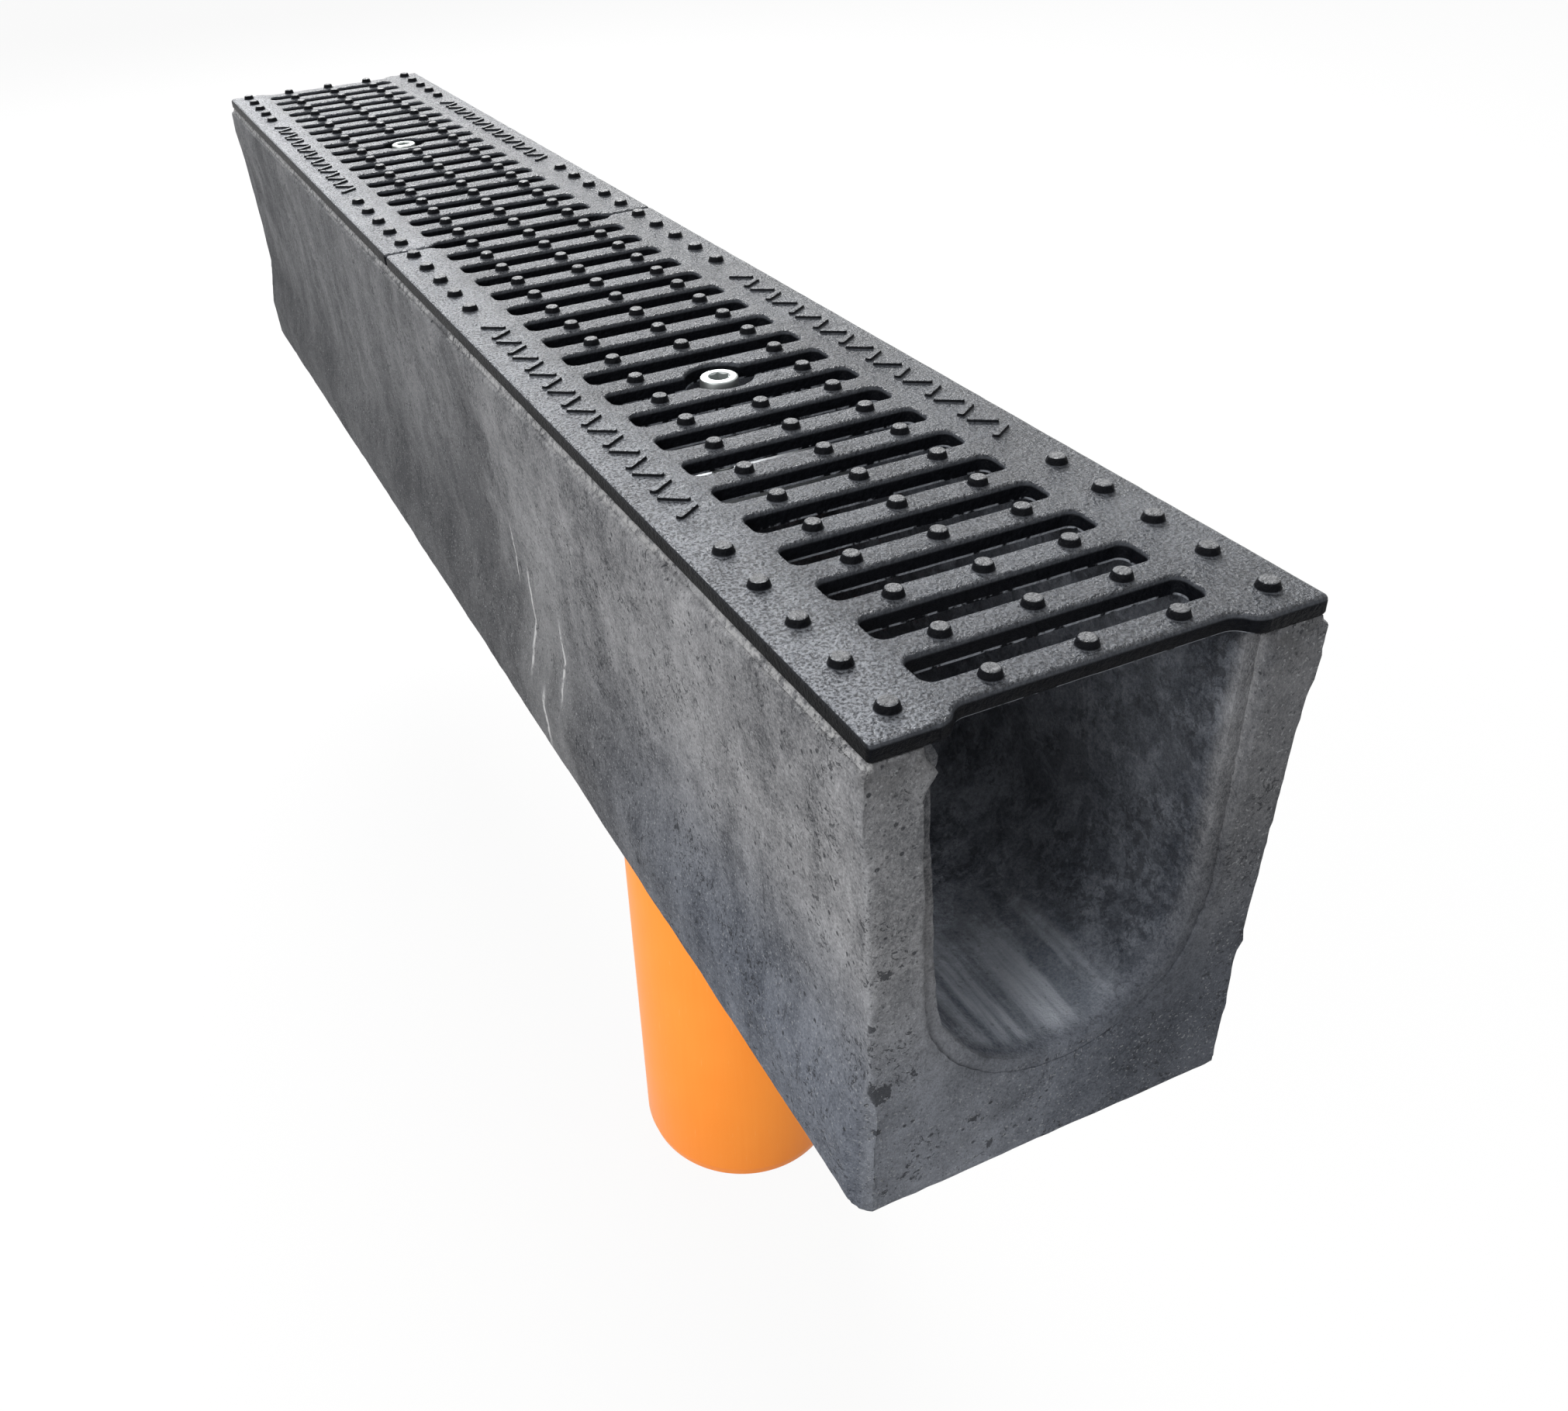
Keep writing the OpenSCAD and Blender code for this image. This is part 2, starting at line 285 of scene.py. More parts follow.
class Paint:
    """Builds a procedural material from a few kinds of node, in object coordinates in millimetres."""

    def __init__(self, name):
        self.material = bpy.data.materials.new(name)
        self.material.use_nodes = True
        self.tree = self.material.node_tree
        self.shader = self.tree.nodes["Principled BSDF"]
        place = self.node("TexCoord").outputs["Object"]
        self.mm = self.node("VectorMath", {0: place, "Scale": 1000}, operation="SCALE").outputs[0]
        self.x, self.y, self.z = self.node("SeparateXYZ", {0: self.mm}).outputs
        self.side = self.math("ABSOLUTE", self.x)
        self.end = self.math("ABSOLUTE", self.y)

    def node(self, kind, inputs=(), **settings):
        return add_node(self.tree, kind, inputs, **settings)

    def math(self, operation, a, b=0.0, c=0.0, clamp=False):
        """One Math node; a, b and c are sockets or plain numbers."""
        return self.node("Math", {0: a, 1: b, 2: c}, operation=operation, use_clamp=clamp).outputs[0]

    def times(self, product, *factors):
        for factor in factors:
            product = self.math("MULTIPLY", product, factor)
        return product

    def times_plus(self, a, b, c):
        """a times b, plus c."""
        return self.math("MULTIPLY_ADD", a, b, c)

    def larger(self, a, b):
        return self.math("MAXIMUM", a, b)

    def minus(self, a, b):
        return self.math("SUBTRACT", a, b)

    def stretch(self, sx, sy, sz):
        """The place in millimetres, scaled along each axis, for noise that is drawn out."""
        return self.node("VectorMath", {0: self.mm, 1: (sx, sy, sz)}, operation="MULTIPLY").outputs[0]

    def noise(self, size, detail=3.0, rough=0.55, vector=None, warp=0.0):
        """Noise about 0.5 with lumps of about that size in millimetres."""
        return self.node("TexNoise", {"Vector": vector or self.mm, "Scale": 1 / size, "Detail": detail,
                                      "Roughness": rough, "Distortion": warp}).outputs["Fac"]

    def cells(self, size):
        """Distance to the nearest of scattered points, which are about size millimetres apart."""
        made = self.node("TexVoronoi", {"Vector": self.mm, "Scale": 1 / size}, feature="F1")
        return made.outputs["Distance"]

    def spot(self, u, u_mid, v, v_mid):
        """Distance in the plane of u and v from the point (u_mid, v_mid)."""
        du = self.minus(u, u_mid)
        dv = self.minus(v, v_mid)
        return self.math("SQRT", self.times_plus(du, du, self.times(dv, dv)))

    def ramp(self, value, low, high):
        """0 at low, 1 at high, smooth between and flat beyond; high may be the smaller."""
        limits = {"Value": value, "From Min": min(low, high), "From Max": max(low, high),
                  "To Min": float(low > high), "To Max": float(low < high)}
        return self.node("MapRange", limits, interpolation_type="SMOOTHSTEP").outputs["Result"]

    def mix(self, factor, a, b):
        """Colour a where factor is 0, colour b where it is 1."""
        mixed = self.node("Mix", data_type="RGBA")
        for value, place in ((factor, "Factor"), (a, COLOR_A), (b, COLOR_B)):
            feed(self.tree, value, mixed.inputs[place])
        return mixed.outputs[COLOR_RESULT]

    def over(self, base, color, *factors):
        """The base with a colour laid over it, as much as the factors' product says."""
        return self.mix(self.times(*factors), base, color)

    def bump(self, height, distance_mm, strength):
        sizes = {"Strength": strength, "Distance": distance_mm * MM, "Height": height}
        return self.node("Bump", sizes).outputs["Normal"]

    def finish(self, color, roughness, normal, **fixed):
        """Feeds the shader; fixed holds the sockets that are the same all over."""
        fed = {"Base Color": color, "Roughness": roughness, "Normal": normal}
        fed.update((key.replace("_", " "), value) for key, value in fixed.items())
        for key, value in fed.items():
            feed(self.tree, value, self.shader.inputs[key])
        return self.material


# Dark pits in the near end face: x, z and radius
END_PITS = ((-74, 62, 2.2), (-70, 58, 4.6), (-69, 110, 2.0), (-71, 41, 1.8), (-73, 89, 1.8), (-58, 63, 1.6),
            (-33, 27, 1.8), (-26, 10, 1.8))
# Pale scratches on the left side: y, low z, high z and width
SCRATCHES = ((-187, 34, 102, 2.0), (-205, 2, 44, 2.6), (-228, 40, 92, 1.7), (-170, 76, 116, 1.2))


def concrete_paint():
    """Smeared and pitted concrete, with painted light and shade on its faces and a lighter, streaked invert
    near the near mouth.
    """
    p = Paint("concrete")
    # Tone of the whole casting, from broad patches down to single grains of sand
    patches = p.noise(85, 3, 0.6, warp=0.5)
    mottle = p.noise(13, 4, 0.65)
    gravel = p.noise(3.6, 3, 0.6)
    grain = p.noise(1.3, 3, 0.75)
    sand = p.noise(0.7, 2, 0.7)
    streaks = p.noise(1, 3, 0.55, vector=p.stretch(0.04, 0.04, 0.007))
    tone = p.times_plus(p.minus(patches, 0.5), 1.3, 0.46)
    for layer, weight in ((mottle, 0.9), (streaks, 0.8), (gravel, 0.65), (grain, 1.3), (sand, 0.8)):
        tone = p.times_plus(p.minus(layer, 0.5), weight, tone)
    tone = p.math("MAXIMUM", tone, 0.0, clamp=True)
    color = p.mix(tone, (0.056, 0.0575, 0.063), (0.318, 0.319, 0.328))
    # The foot of the sides, darker towards the bottom as painted shade, and bluer towards the near end
    foot = p.mix(p.ramp(p.y, -200, -430), p.mix(tone, (0.037, 0.0375, 0.041), (0.176, 0.177, 0.183)),
                 p.mix(tone, (0.036, 0.042, 0.056), (0.165, 0.18, 0.213)))
    color = p.over(color, foot, p.ramp(p.z, 132, 36), 0.95)
    # Painted shade, darker towards the far end, and smears along the sides; then painted light on the left
    # and painted shade on the right of the end faces
    color = p.over(color, (0.03, 0.032, 0.036), p.ramp(p.y, -380, 0), 0.45)
    smears = p.ramp(p.noise(1, 4, 0.6, vector=p.stretch(0.02, 0.014, 0.009), warp=0.6), 0.52, 0.66)
    color = p.over(color, (0.035, 0.036, 0.04), smears, p.ramp(p.y, -330, -180), 0.55)
    # Painted light: the end faces paler on the left
    color = p.over(color, (0.5, 0.51, 0.53), p.ramp(p.x, 20, -40), p.ramp(p.end, 495, 499), 0.12)
    # Painted shade: the end faces darker on the right
    color = p.over(color, (0.03, 0.033, 0.04), p.ramp(p.x, -15, 50), p.ramp(p.end, 492, 498), 0.5)
    # The lighter, streaked invert near the near mouth, and the inner walls with blots, dabs and painted shade
    flow = p.ramp(p.noise(1, 4, 0.6, vector=p.stretch(0.085, 0.006, 0.03)), 0.38, 0.58)
    invert_color = p.over(p.mix(flow, (0.08, 0.094, 0.12), (0.36, 0.385, 0.43)), (0.36, 0.38, 0.41), tone, 0.4)
    wall = p.mix(tone, (0.056, 0.064, 0.082), (0.37, 0.395, 0.445))
    blots = p.ramp(p.noise(13, 4, 0.75, warp=0.8), 0.42, 0.58)
    wall = p.mix(blots, p.mix(0.52, wall, (0.02, 0.024, 0.032)), wall)
    # Painted shade: the inner walls darker towards the right
    wall = p.over(wall, (0.012, 0.015, 0.022), p.ramp(p.x, -30, 40), 0.62)
    dabs = p.ramp(p.noise(4.6, 4, 0.7, warp=0.5), 0.49, 0.57)
    wall = p.over(wall, (0.008, 0.01, 0.015), dabs, p.ramp(p.noise(34, 2), 0.4, 0.54), 0.62)
    inner = p.over(wall, invert_color, p.ramp(p.z, 60, 46), p.ramp(p.y, -410, -485))
    mouth = p.times(p.ramp(p.side, 60, MOUTH_HALF), p.ramp(p.z, 42, 46))
    color = p.over(color, inner, mouth, p.ramp(p.end, 496.5, 488), 0.9)
    # Stains under the grate, then pores, worm holes, specks, drips and pits
    stain = p.times(p.ramp(p.z, 168, WALL_TOP), p.ramp(p.end, 496, 499))
    color = p.over(color, (0.06, 0.058, 0.058), stain, p.ramp(p.noise(9, 3, 0.6), 0.36, 0.6), 0.5)
    pores = p.times(p.ramp(p.cells(5.5), 0.17, 0.1), p.ramp(p.noise(15, 2), 0.42, 0.5))
    specks = p.times(p.ramp(p.cells(2.4), 0.2, 0.1), 0.6)
    worms = p.times(p.ramp(p.noise(3.0, 3, 0.65, warp=1.4), 0.57, 0.64), p.ramp(p.noise(22, 3), 0.5, 0.58))
    drips = p.ramp(p.noise(1, 4, 0.7, vector=p.stretch(0.22, 0.22, 0.045)), 0.6, 0.72)
    drips = p.times(drips, p.ramp(p.side, 70, 74), p.ramp(p.noise(30, 2), 0.42, 0.6), 0.75)
    holes = p.larger(p.larger(pores, worms), p.larger(specks, drips))
    holes = p.times(holes, p.times_plus(mouth, -0.65, 1.0))
    ragged_edge = p.times_plus(p.noise(2.6, 3, 0.7), 9.0, -4.5)
    pits = 0.0
    for across, up, radius in END_PITS:
        gap = p.math("ADD", p.spot(p.x, across, p.z, up), ragged_edge)
        pits = p.larger(pits, p.ramp(gap, radius, radius - 0.8))
    holes = p.larger(holes, p.times(pits, p.ramp(p.y, -498, -499)))
    color = p.over(color, (0.02, 0.022, 0.027), holes, 0.8)
    # Chipped top arrises, haze and scratches on the left side, pale grit all over
    broken = p.mix(grain, (0.17, 0.17, 0.17), (0.46, 0.46, 0.465))
    color = p.over(color, broken, p.ramp(p.z, 186.2, 188.4), p.ramp(p.side, 74.8, 76.6),
                   p.ramp(p.noise(3.2, 3, 0.7), 0.4, 0.56))
    left = p.ramp(p.x, -66, -70)
    color = p.over(color, (0.46, 0.465, 0.47), p.ramp(p.y, -262, -214), p.ramp(p.y, -150, -196),
                   streaks, left, 0.2)
    sway = p.times_plus(p.noise(1, 2, 0.5, vector=p.stretch(0.0, 0.0, 0.05)), 9.0, -4.5)
    scratches = 0.0
    for place, low, high, width in SCRATCHES:
        gap = p.math("ABSOLUTE", p.math("ADD", p.minus(p.y, place), sway))
        line = p.times(p.ramp(gap, width, width * 0.3), p.ramp(p.z, low, low + 14),
                       p.ramp(p.z, high, high - 14))
        scratches = p.larger(scratches, line)
    color = p.over(color, (0.46, 0.46, 0.465), scratches, left, p.ramp(p.noise(4, 3, 0.7), 0.32, 0.54))
    grit = p.ramp(p.noise(1.2, 1), 0.64, 0.71)
    color = p.over(color, (0.36, 0.37, 0.38), grit, 0.4, p.minus(1.0, mouth))
    height = p.times_plus(gravel, 0.4, p.times(grain, 1.5))
    height = p.times_plus(holes, -0.9, height)
    return p.finish(color, 0.9, p.bump(height, 0.6, 0.9), Specular_IOR_Level=0.22)


def cast_grain(p):
    """The fine grain of cast iron under paint, and the height that it and the paint's peel give."""
    grain = p.noise(1.15, 3, 0.65)
    peel = p.noise(2.2, 2, 0.5)
    return grain, peel, p.times_plus(peel, 1.2, p.times(grain, 1.3))


def iron_paint():
    """The painted top skin: fine leathery grain, studs with worn crowns, a grey that is partly painted sheen,
    painted shade on the middle and right rim, and painted sheen on the left rim.
    """
    p = Paint("cast_iron")
    grain, _, height = cast_grain(p)
    light = p.times_plus(p.minus(p.noise(45, 3), 0.5), 0.35, grain)
    # The skin's grey is partly the paint's own tone and partly painted sheen
    color = p.mix(p.ramp(light, 0.34, 0.62), (0.02, 0.0225, 0.028), (0.125, 0.134, 0.151))
    # Painted shade: darker over the middle and towards the right rim
    for shade in ((p.ramp(p.side, 58, 47), 0.35), (p.ramp(p.x, 20, 62), 0.42)):
        color = p.over(color, (0.012, 0.014, 0.018), *shade)
    # Painted sheen: the left rim lighter
    color = p.over(color, (0.25, 0.262, 0.285), p.ramp(p.x, -50, -62), p.ramp(grain, 0.4, 0.62), 0.4)
    crown = p.mix(grain, (0.05, 0.052, 0.056), (0.175, 0.179, 0.186))
    color = p.over(color, crown, p.ramp(p.z, 199.55, 199.85))
    rough = p.times_plus(grain, 0.2, 0.18)
    return p.finish(color, rough, p.bump(height, 0.95, 1.0), Specular_IOR_Level=0.3)


def iron_wall_paint():
    """The same paint in the slots, on the edges and underneath, where it is near black and has none of the
    top copy's painted sheen.
    """
    p = Paint("cast_iron_walls")
    grain, peel, height = cast_grain(p)
    color = p.mix(peel, (0.001, 0.0012, 0.0018), (0.0065, 0.0072, 0.0095))
    # Painted sheen on the slots' lips, a painted highlight on the ledge between plate and bars, and the front
    # bar's face with painted light and a painted highlight along its lower edge
    lip = p.mix(grain, (0.018, 0.02, 0.025), (0.09, 0.096, 0.108))
    color = p.over(color, lip, p.ramp(p.z, 194.7, 195.6))
    # Painted highlight: the ledge
    color = p.over(color, (0.2, 0.212, 0.235), p.ramp(p.z, 189.9, 190.1), p.ramp(p.z, 190.95, 190.75),
                   p.ramp(p.side, 52.5, 51.5), p.ramp(p.noise(6, 3, 0.6), 0.42, 0.52))
    # Painted light: the front bar's face
    front = p.times(p.ramp(p.end, 493.3, 494.2), p.ramp(p.z, 190.4, 189.8))
    color = p.over(color, p.mix(grain, (0.01, 0.011, 0.014), (0.048, 0.051, 0.058)), front)
    # Painted highlight: the front bar's lower edge
    low = p.times_plus(p.times(p.side, p.side), 0.00113, TOP - TIER_DEPTH)
    color = p.over(color, (0.3, 0.31, 0.325), front, p.ramp(p.minus(p.z, low), 1.5, 0.7))
    # Outer edge of the plate and flanks of the studs
    outer = p.mix(grain, (0.001, 0.0011, 0.0015), (0.007, 0.0072, 0.008))
    color = p.over(color, outer, p.ramp(p.side, 76.6, 77.1), 0.8)
    color = p.over(color, (0.0055, 0.006, 0.0075), p.ramp(p.z, 197.15, 197.4))
    rough = p.times_plus(grain, 0.2, 0.24)
    return p.finish(color, rough, p.bump(height, 0.6, 0.9), Specular_IOR_Level=0.03)


def metal_paint(name, color, rough, brushed):
    """Bare or plated steel; brushed scales its fine lines along each axis."""
    p = Paint(name)
    lines = p.noise(1, 3, 0.6, vector=p.stretch(*brushed))
    shade = p.mix(p.noise(8, 3), tuple(0.86 * c for c in color), color)
    return p.finish(shade, p.times_plus(lines, 0.18, rough), p.bump(lines, 0.06, 0.6), Metallic=1.0)


def plastic_paint():
    """Orange pipe, with drawn lines and scuffs along its length."""
    p = Paint("orange_plastic")
    drawn = p.noise(1, 3, 0.6, vector=p.stretch(0.5, 0.5, 0.012))
    tone = p.times_plus(p.minus(drawn, 0.5), 0.5, p.noise(70, 2))
    color = p.mix(tone, (0.97, 0.275, 0.032), (1.0, 0.33, 0.05))
    scuffs = p.noise(1, 4, 0.7, vector=p.stretch(0.9, 0.9, 0.06))
    color = p.over(color, (1.0, 0.55, 0.26), p.ramp(scuffs, 0.63, 0.75), 0.22)
    normal = p.bump(p.math("ADD", drawn, p.noise(5, 2)), 0.08, 0.5)
    return p.finish(color, 0.36, normal, Specular_IOR_Level=0.08)


def rubber_paint():
    p = Paint("seal_rubber")
    color = p.mix(p.noise(9, 4), (0.012, 0.012, 0.013), (0.03, 0.03, 0.032))
    return p.finish(color, 0.62, p.bump(p.noise(0.8, 2), 0.1, 0.6), Specular_IOR_Level=0.4)


concrete = concrete_paint()
iron = iron_paint()
iron_wall = iron_wall_paint()
bright_steel = metal_paint("bright_steel", (0.4, 0.425, 0.42), 0.3, (0.2, 0.2, 3.0))
zinc_steel = metal_paint("zinc_steel", (0.6, 0.62, 0.64), 0.32, (0.1, 1.2, 1.2))
orange_plastic = plastic_paint()
seal_rubber = rubber_paint()


# Channel body: one closed skin, from section rows run along the length
def resample(line, count, fine_at=(), fine=4.0, reach=6.0):
    """count + 1 points along a line of (x, z), closer together near the fine points."""
    line = np.array(line, float)
    seg = np.linalg.norm(np.diff(line, axis=0), axis=1)
    at = np.concatenate([[0], np.cumsum(seg)])
    s = np.linspace(0, at[-1], 4000)
    xy = np.stack([np.interp(s, at, line[:, 0]), np.interp(s, at, line[:, 1])], 1)
    weight = np.ones(len(s))
    for point in fine_at:
        gap = np.linalg.norm(xy - np.array(point), axis=1)
        weight += fine * np.exp(-((gap / reach) ** 2))
    total = np.concatenate([[0], np.cumsum((weight[1:] + weight[:-1]) / 2)])
    pick = np.interp(np.linspace(0, total[-1], count + 1), total, s)
    return np.stack([np.interp(pick, at, line[:, 0]), np.interp(pick, at, line[:, 1])], 1)


def left_right(upper, lower):
    """A whole row from its left upper part and its lower part, mirrored about the middle."""
    right = upper[::-1] * [-1, 1]
    return np.concatenate([upper, lower[1:-1], right])


def row_normals(row, sign):
    """Unit normals of a row of (x, z), on the side that sign picks."""
    step = np.gradient(row, axis=0)
    n = np.stack([step[:, 1], -step[:, 0]], 1) * sign
    return n / np.maximum(np.linalg.norm(n, axis=1), 1e-9)[:, None]


# Pieces that a wall's row and the bottom's row are divided into
UPPER = 44
LOWER = 88


def outer_row():
    """The outside of the section: left wall, foot, right wall."""
    arris = [(-77.5, WALL_TOP), (-HALF_W, 187.5)]
    upper = arris + [(-HALF_W, 172), (-77.5, 150), (-75.1, 95)]
    lower = [(-75.1, 95), (-74, 65), (-HALF_W, 33)]
    lower += [(-72.5 + 6 * cos_deg(a), 6 + 6 * sin_deg(a)) for a in range(180, 271, 15)]
    lower += [(-x, z) for x, z in reversed(lower)]
    up = resample(upper, UPPER, arris, 3.0, 4.0)
    bends = [(-78.5, 6), (-72.5, 0), (78.5, 6), (72.5, 0), (-HALF_W, 33), (HALF_W, 33)]
    return left_right(up, resample(lower, LOWER, bends, 1.2, 7.0))


def inner_row(grow):
    """The inside of the section, grown by that much."""
    wall = [(-MOUTH_HALF - grow, WALL_TOP), (-INVERT_R - grow, INVERT_Z)]
    upper = resample(wall, UPPER, [(-MOUTH_HALF, WALL_TOP)], 2.0, 5.0)
    lower = np.array(arc(0, INVERT_Z, INVERT_R + grow, 180, 360, LOWER))
    return left_right(upper, lower)


def stations():
    """Places along the length, closer together at the two ends."""
    spots = [-HALF_L]
    while spots[-1] < HALF_L:
        y = spots[-1]
        from_end = min(y + HALF_L, HALF_L - y)
        step = min(0.8 + 0.06 * from_end, 4.6 if y < 0 else 6.4)
        spots.append(y + step)
    spots = np.array(spots)
    return -HALF_L + (spots + HALF_L) * 2 * HALF_L / (spots[-1] + HALF_L)


def edge_drop(gap, radius):
    """How far a rounded edge falls back at that distance from the edge."""
    radius = np.maximum(radius, 0.05)
    return np.where(gap < radius, (radius - gap) ** 2 / (2 * radius), 0.0)


def chips(points, seed, base, bite):
    """Edge radius: a little everywhere, with a few larger bites."""
    small = wobble(points, 3.2, seed)
    large = wobble(points, 21.0, seed + 7)
    return base * (1 + 0.55 * small) + bite * np.clip((large - 0.28) * 2.4, 0, 1) * (0.7 + 0.5 * small)


# The station from which the inner rows are spread towards either end
SPREAD_FROM_Y = 5.0
# Where the rows over an end face lie, as shares of the way from the outer edge to the joint's step
FACE_SHARES = (0.0, 0.035, 0.08, 0.15, 0.27, 0.42, 0.58, 0.73, 0.85, 0.92, 0.965, 1.0)
# Seeds and sizes of the chips on an edge: outside, round the joint's step, round the bore
OUTER_CHIPS = (31, 1.6, 3.2)
STEP_CHIPS = (47, 0.6, 1.3)
BORE_CHIPS = (83, 0.5, 1.0)


def edge_radius(row, end_y, kind):
    """The chipped edge's radius at each point of a row at that end."""
    seed, base, bite = kind
    return chips(upright(row, end_y), seed + end_y, base, bite)


def end_path(outer, grown, inner, end_y, way, depths):
    """Rows of points over an end, from the outer edge across the face and the joint's step to the bore.
    way points into the channel; depths are over 0 for a rebate and under 0 for a tongue."""
    rows = []
    radius_out = edge_radius(outer, end_y, OUTER_CHIPS)
    radius_in = edge_radius(grown, end_y, STEP_CHIPS)
    width = np.linalg.norm(outer - grown, axis=1)
    for share in FACE_SHARES:
        flat = outer * (1 - share) + grown * share
        drop = edge_drop(width * share, radius_out)
        if depths[0] > 0:
            drop = drop + edge_drop(width * (1 - share), radius_in)
        rows.append(upright(flat, end_y + way * drop))
    rows += [upright(grown, end_y + way * depths * share) for share in (0.35, 0.8, 1.0)]
    y_step = end_y + way * depths
    radius_bore = edge_radius(inner, end_y, BORE_CHIPS)
    gap = np.linalg.norm(grown - inner, axis=1)
    for share in (0.3, 0.7, 1.0):
        flat = grown * (1 - share) + inner * share
        drop = edge_drop(gap * (1 - share), radius_bore)
        rows.append(upright(flat, y_step + way * drop))
    return rows


def ragged(row, size, seed):
    """A row pushed in and out a little, as a broken edge is."""
    flat = upright(row, 0.0)
    push = 0.6 * wobble(flat, 3.4, seed) + 0.6 * wobble(flat, 9.0, seed + 3)
    push *= smooth_step(WALL_TOP - row[:, 1], 0.0, 4.0)
    return row - row_normals(row, -1.0) * (size * push)[:, None]


def outer_columns(outer, spots):
    """The outer row at each station, drawn in where it nears a chipped end."""
    normals = row_normals(outer, 1.0)
    columns = []
    for y in spots:
        points = upright(outer, y)
        from_end = min(y + HALF_L, HALF_L - y)
        seed, base, bite = OUTER_CHIPS
        radius = chips(points, seed + (-HALF_L if y < 0 else HALF_L), base, bite)
        points[:, [0, 2]] -= normals * edge_drop(from_end, radius)[:, None]
        columns.append(points)
    return columns


def inner_columns(inner, spots, near_y, far_y):
    """The inner row at each station, spread so that it starts and stops where the ends' steps do."""
    normals = row_normals(inner, -1.0)
    radius = edge_radius(inner, -HALF_L, BORE_CHIPS)
    near_run = HALF_L + SPREAD_FROM_Y
    far_run = HALF_L - SPREAD_FROM_Y
    columns = []
    for at in spots:
        if at > SPREAD_FROM_Y:
            y = far_y - (HALF_L - at) * (far_run + (far_y - HALF_L)) / far_run
        else:
            y = near_y + (at + HALF_L) * (near_run - (near_y + HALF_L)) / near_run
            y = np.minimum(y, SPREAD_FROM_Y)
        drop = edge_drop(np.abs(y - (near_y if at < 0 else far_y)), radius)
        points = upright(inner, y)
        points[:, [0, 2]] -= normals * drop[:, None]
        columns.append(points)
    return columns


def joint_depth(row, base, gain):
    """Depth of the joint's step at each point of a row, growing from the bottom up."""
    return base + gain * (np.clip(row[:, 1], 30, WALL_TOP) - 45) / 145


def channel_skin():
    """Points and faces of the whole casting, closed over the walls' tops."""
    outer = outer_row()
    inner = inner_row(0.0)
    near_grown = ragged(inner_row(JOINT_T), 0.7, 61.0)
    far_grown = ragged(inner_row(JOINT_T - 1.0), 0.4, 67.0)
    spots = stations()
    near_depth = np.maximum(joint_depth(near_grown, 0.3, 6.7), 0.25)
    far_depth = np.minimum(-joint_depth(far_grown, 0.5, 5.5), -0.3)
    near_path = end_path(outer, near_grown, inner, -HALF_L, 1.0, near_depth)
    far_path = end_path(outer, far_grown, inner, HALF_L, -1.0, far_depth)
    across = len(near_path) - 1
    count = len(spots) - 1
    columns = outer_columns(outer, spots)
    columns[0] = (columns[0] + near_path[0]) / 2
    columns[-1] = (columns[-1] + far_path[0]) / 2
    bore = inner_columns(inner, spots, near_path[-1][:, 1], far_path[-1][:, 1])
    n = len(outer)
    rings = columns + far_path[1:-1] + bore[::-1] + near_path[1:-1][::-1]
    points = np.concatenate(rings)
    faces = []
    total = len(rings)
    for j in range(total):
        a = j * n
        b = ((j + 1) % total) * n
        for i in range(n - 1):
            faces.append([a + i, b + i, b + i + 1, a + i + 1])
    extra = []
    start = len(points)
    for i in (0, n - 1):
        grid = np.zeros((count + 1, across + 1), int)
        grid[:, 0] = np.arange(count + 1) * n + i
        grid[count, 1:across] = (count + 1 + np.arange(across - 1)) * n + i
        base = count + 1 + across - 1
        grid[:, across] = (base + count - np.arange(count + 1)) * n + i
        grid[0, 1:across] = (base + count + 1 + np.arange(across - 1))[::-1] * n + i
        for j in range(1, count):
            p0 = points[grid[j, 0]]
            p1 = points[grid[j, across]]
            for k in range(1, across):
                grid[j, k] = start + len(extra)
                extra.append(p0 + (p1 - p0) * k / across)
        for j in range(count):
            for k in range(across):
                ring = [grid[j, k], grid[j + 1, k], grid[j + 1, k + 1], grid[j, k + 1]]
                faces.append(ring if i == 0 else ring[::-1])
    points = np.concatenate([points, np.array(extra)])
    return points, faces


# Share of a cut at 45 degrees that goes along each axis
DIAGONAL = 0.7071


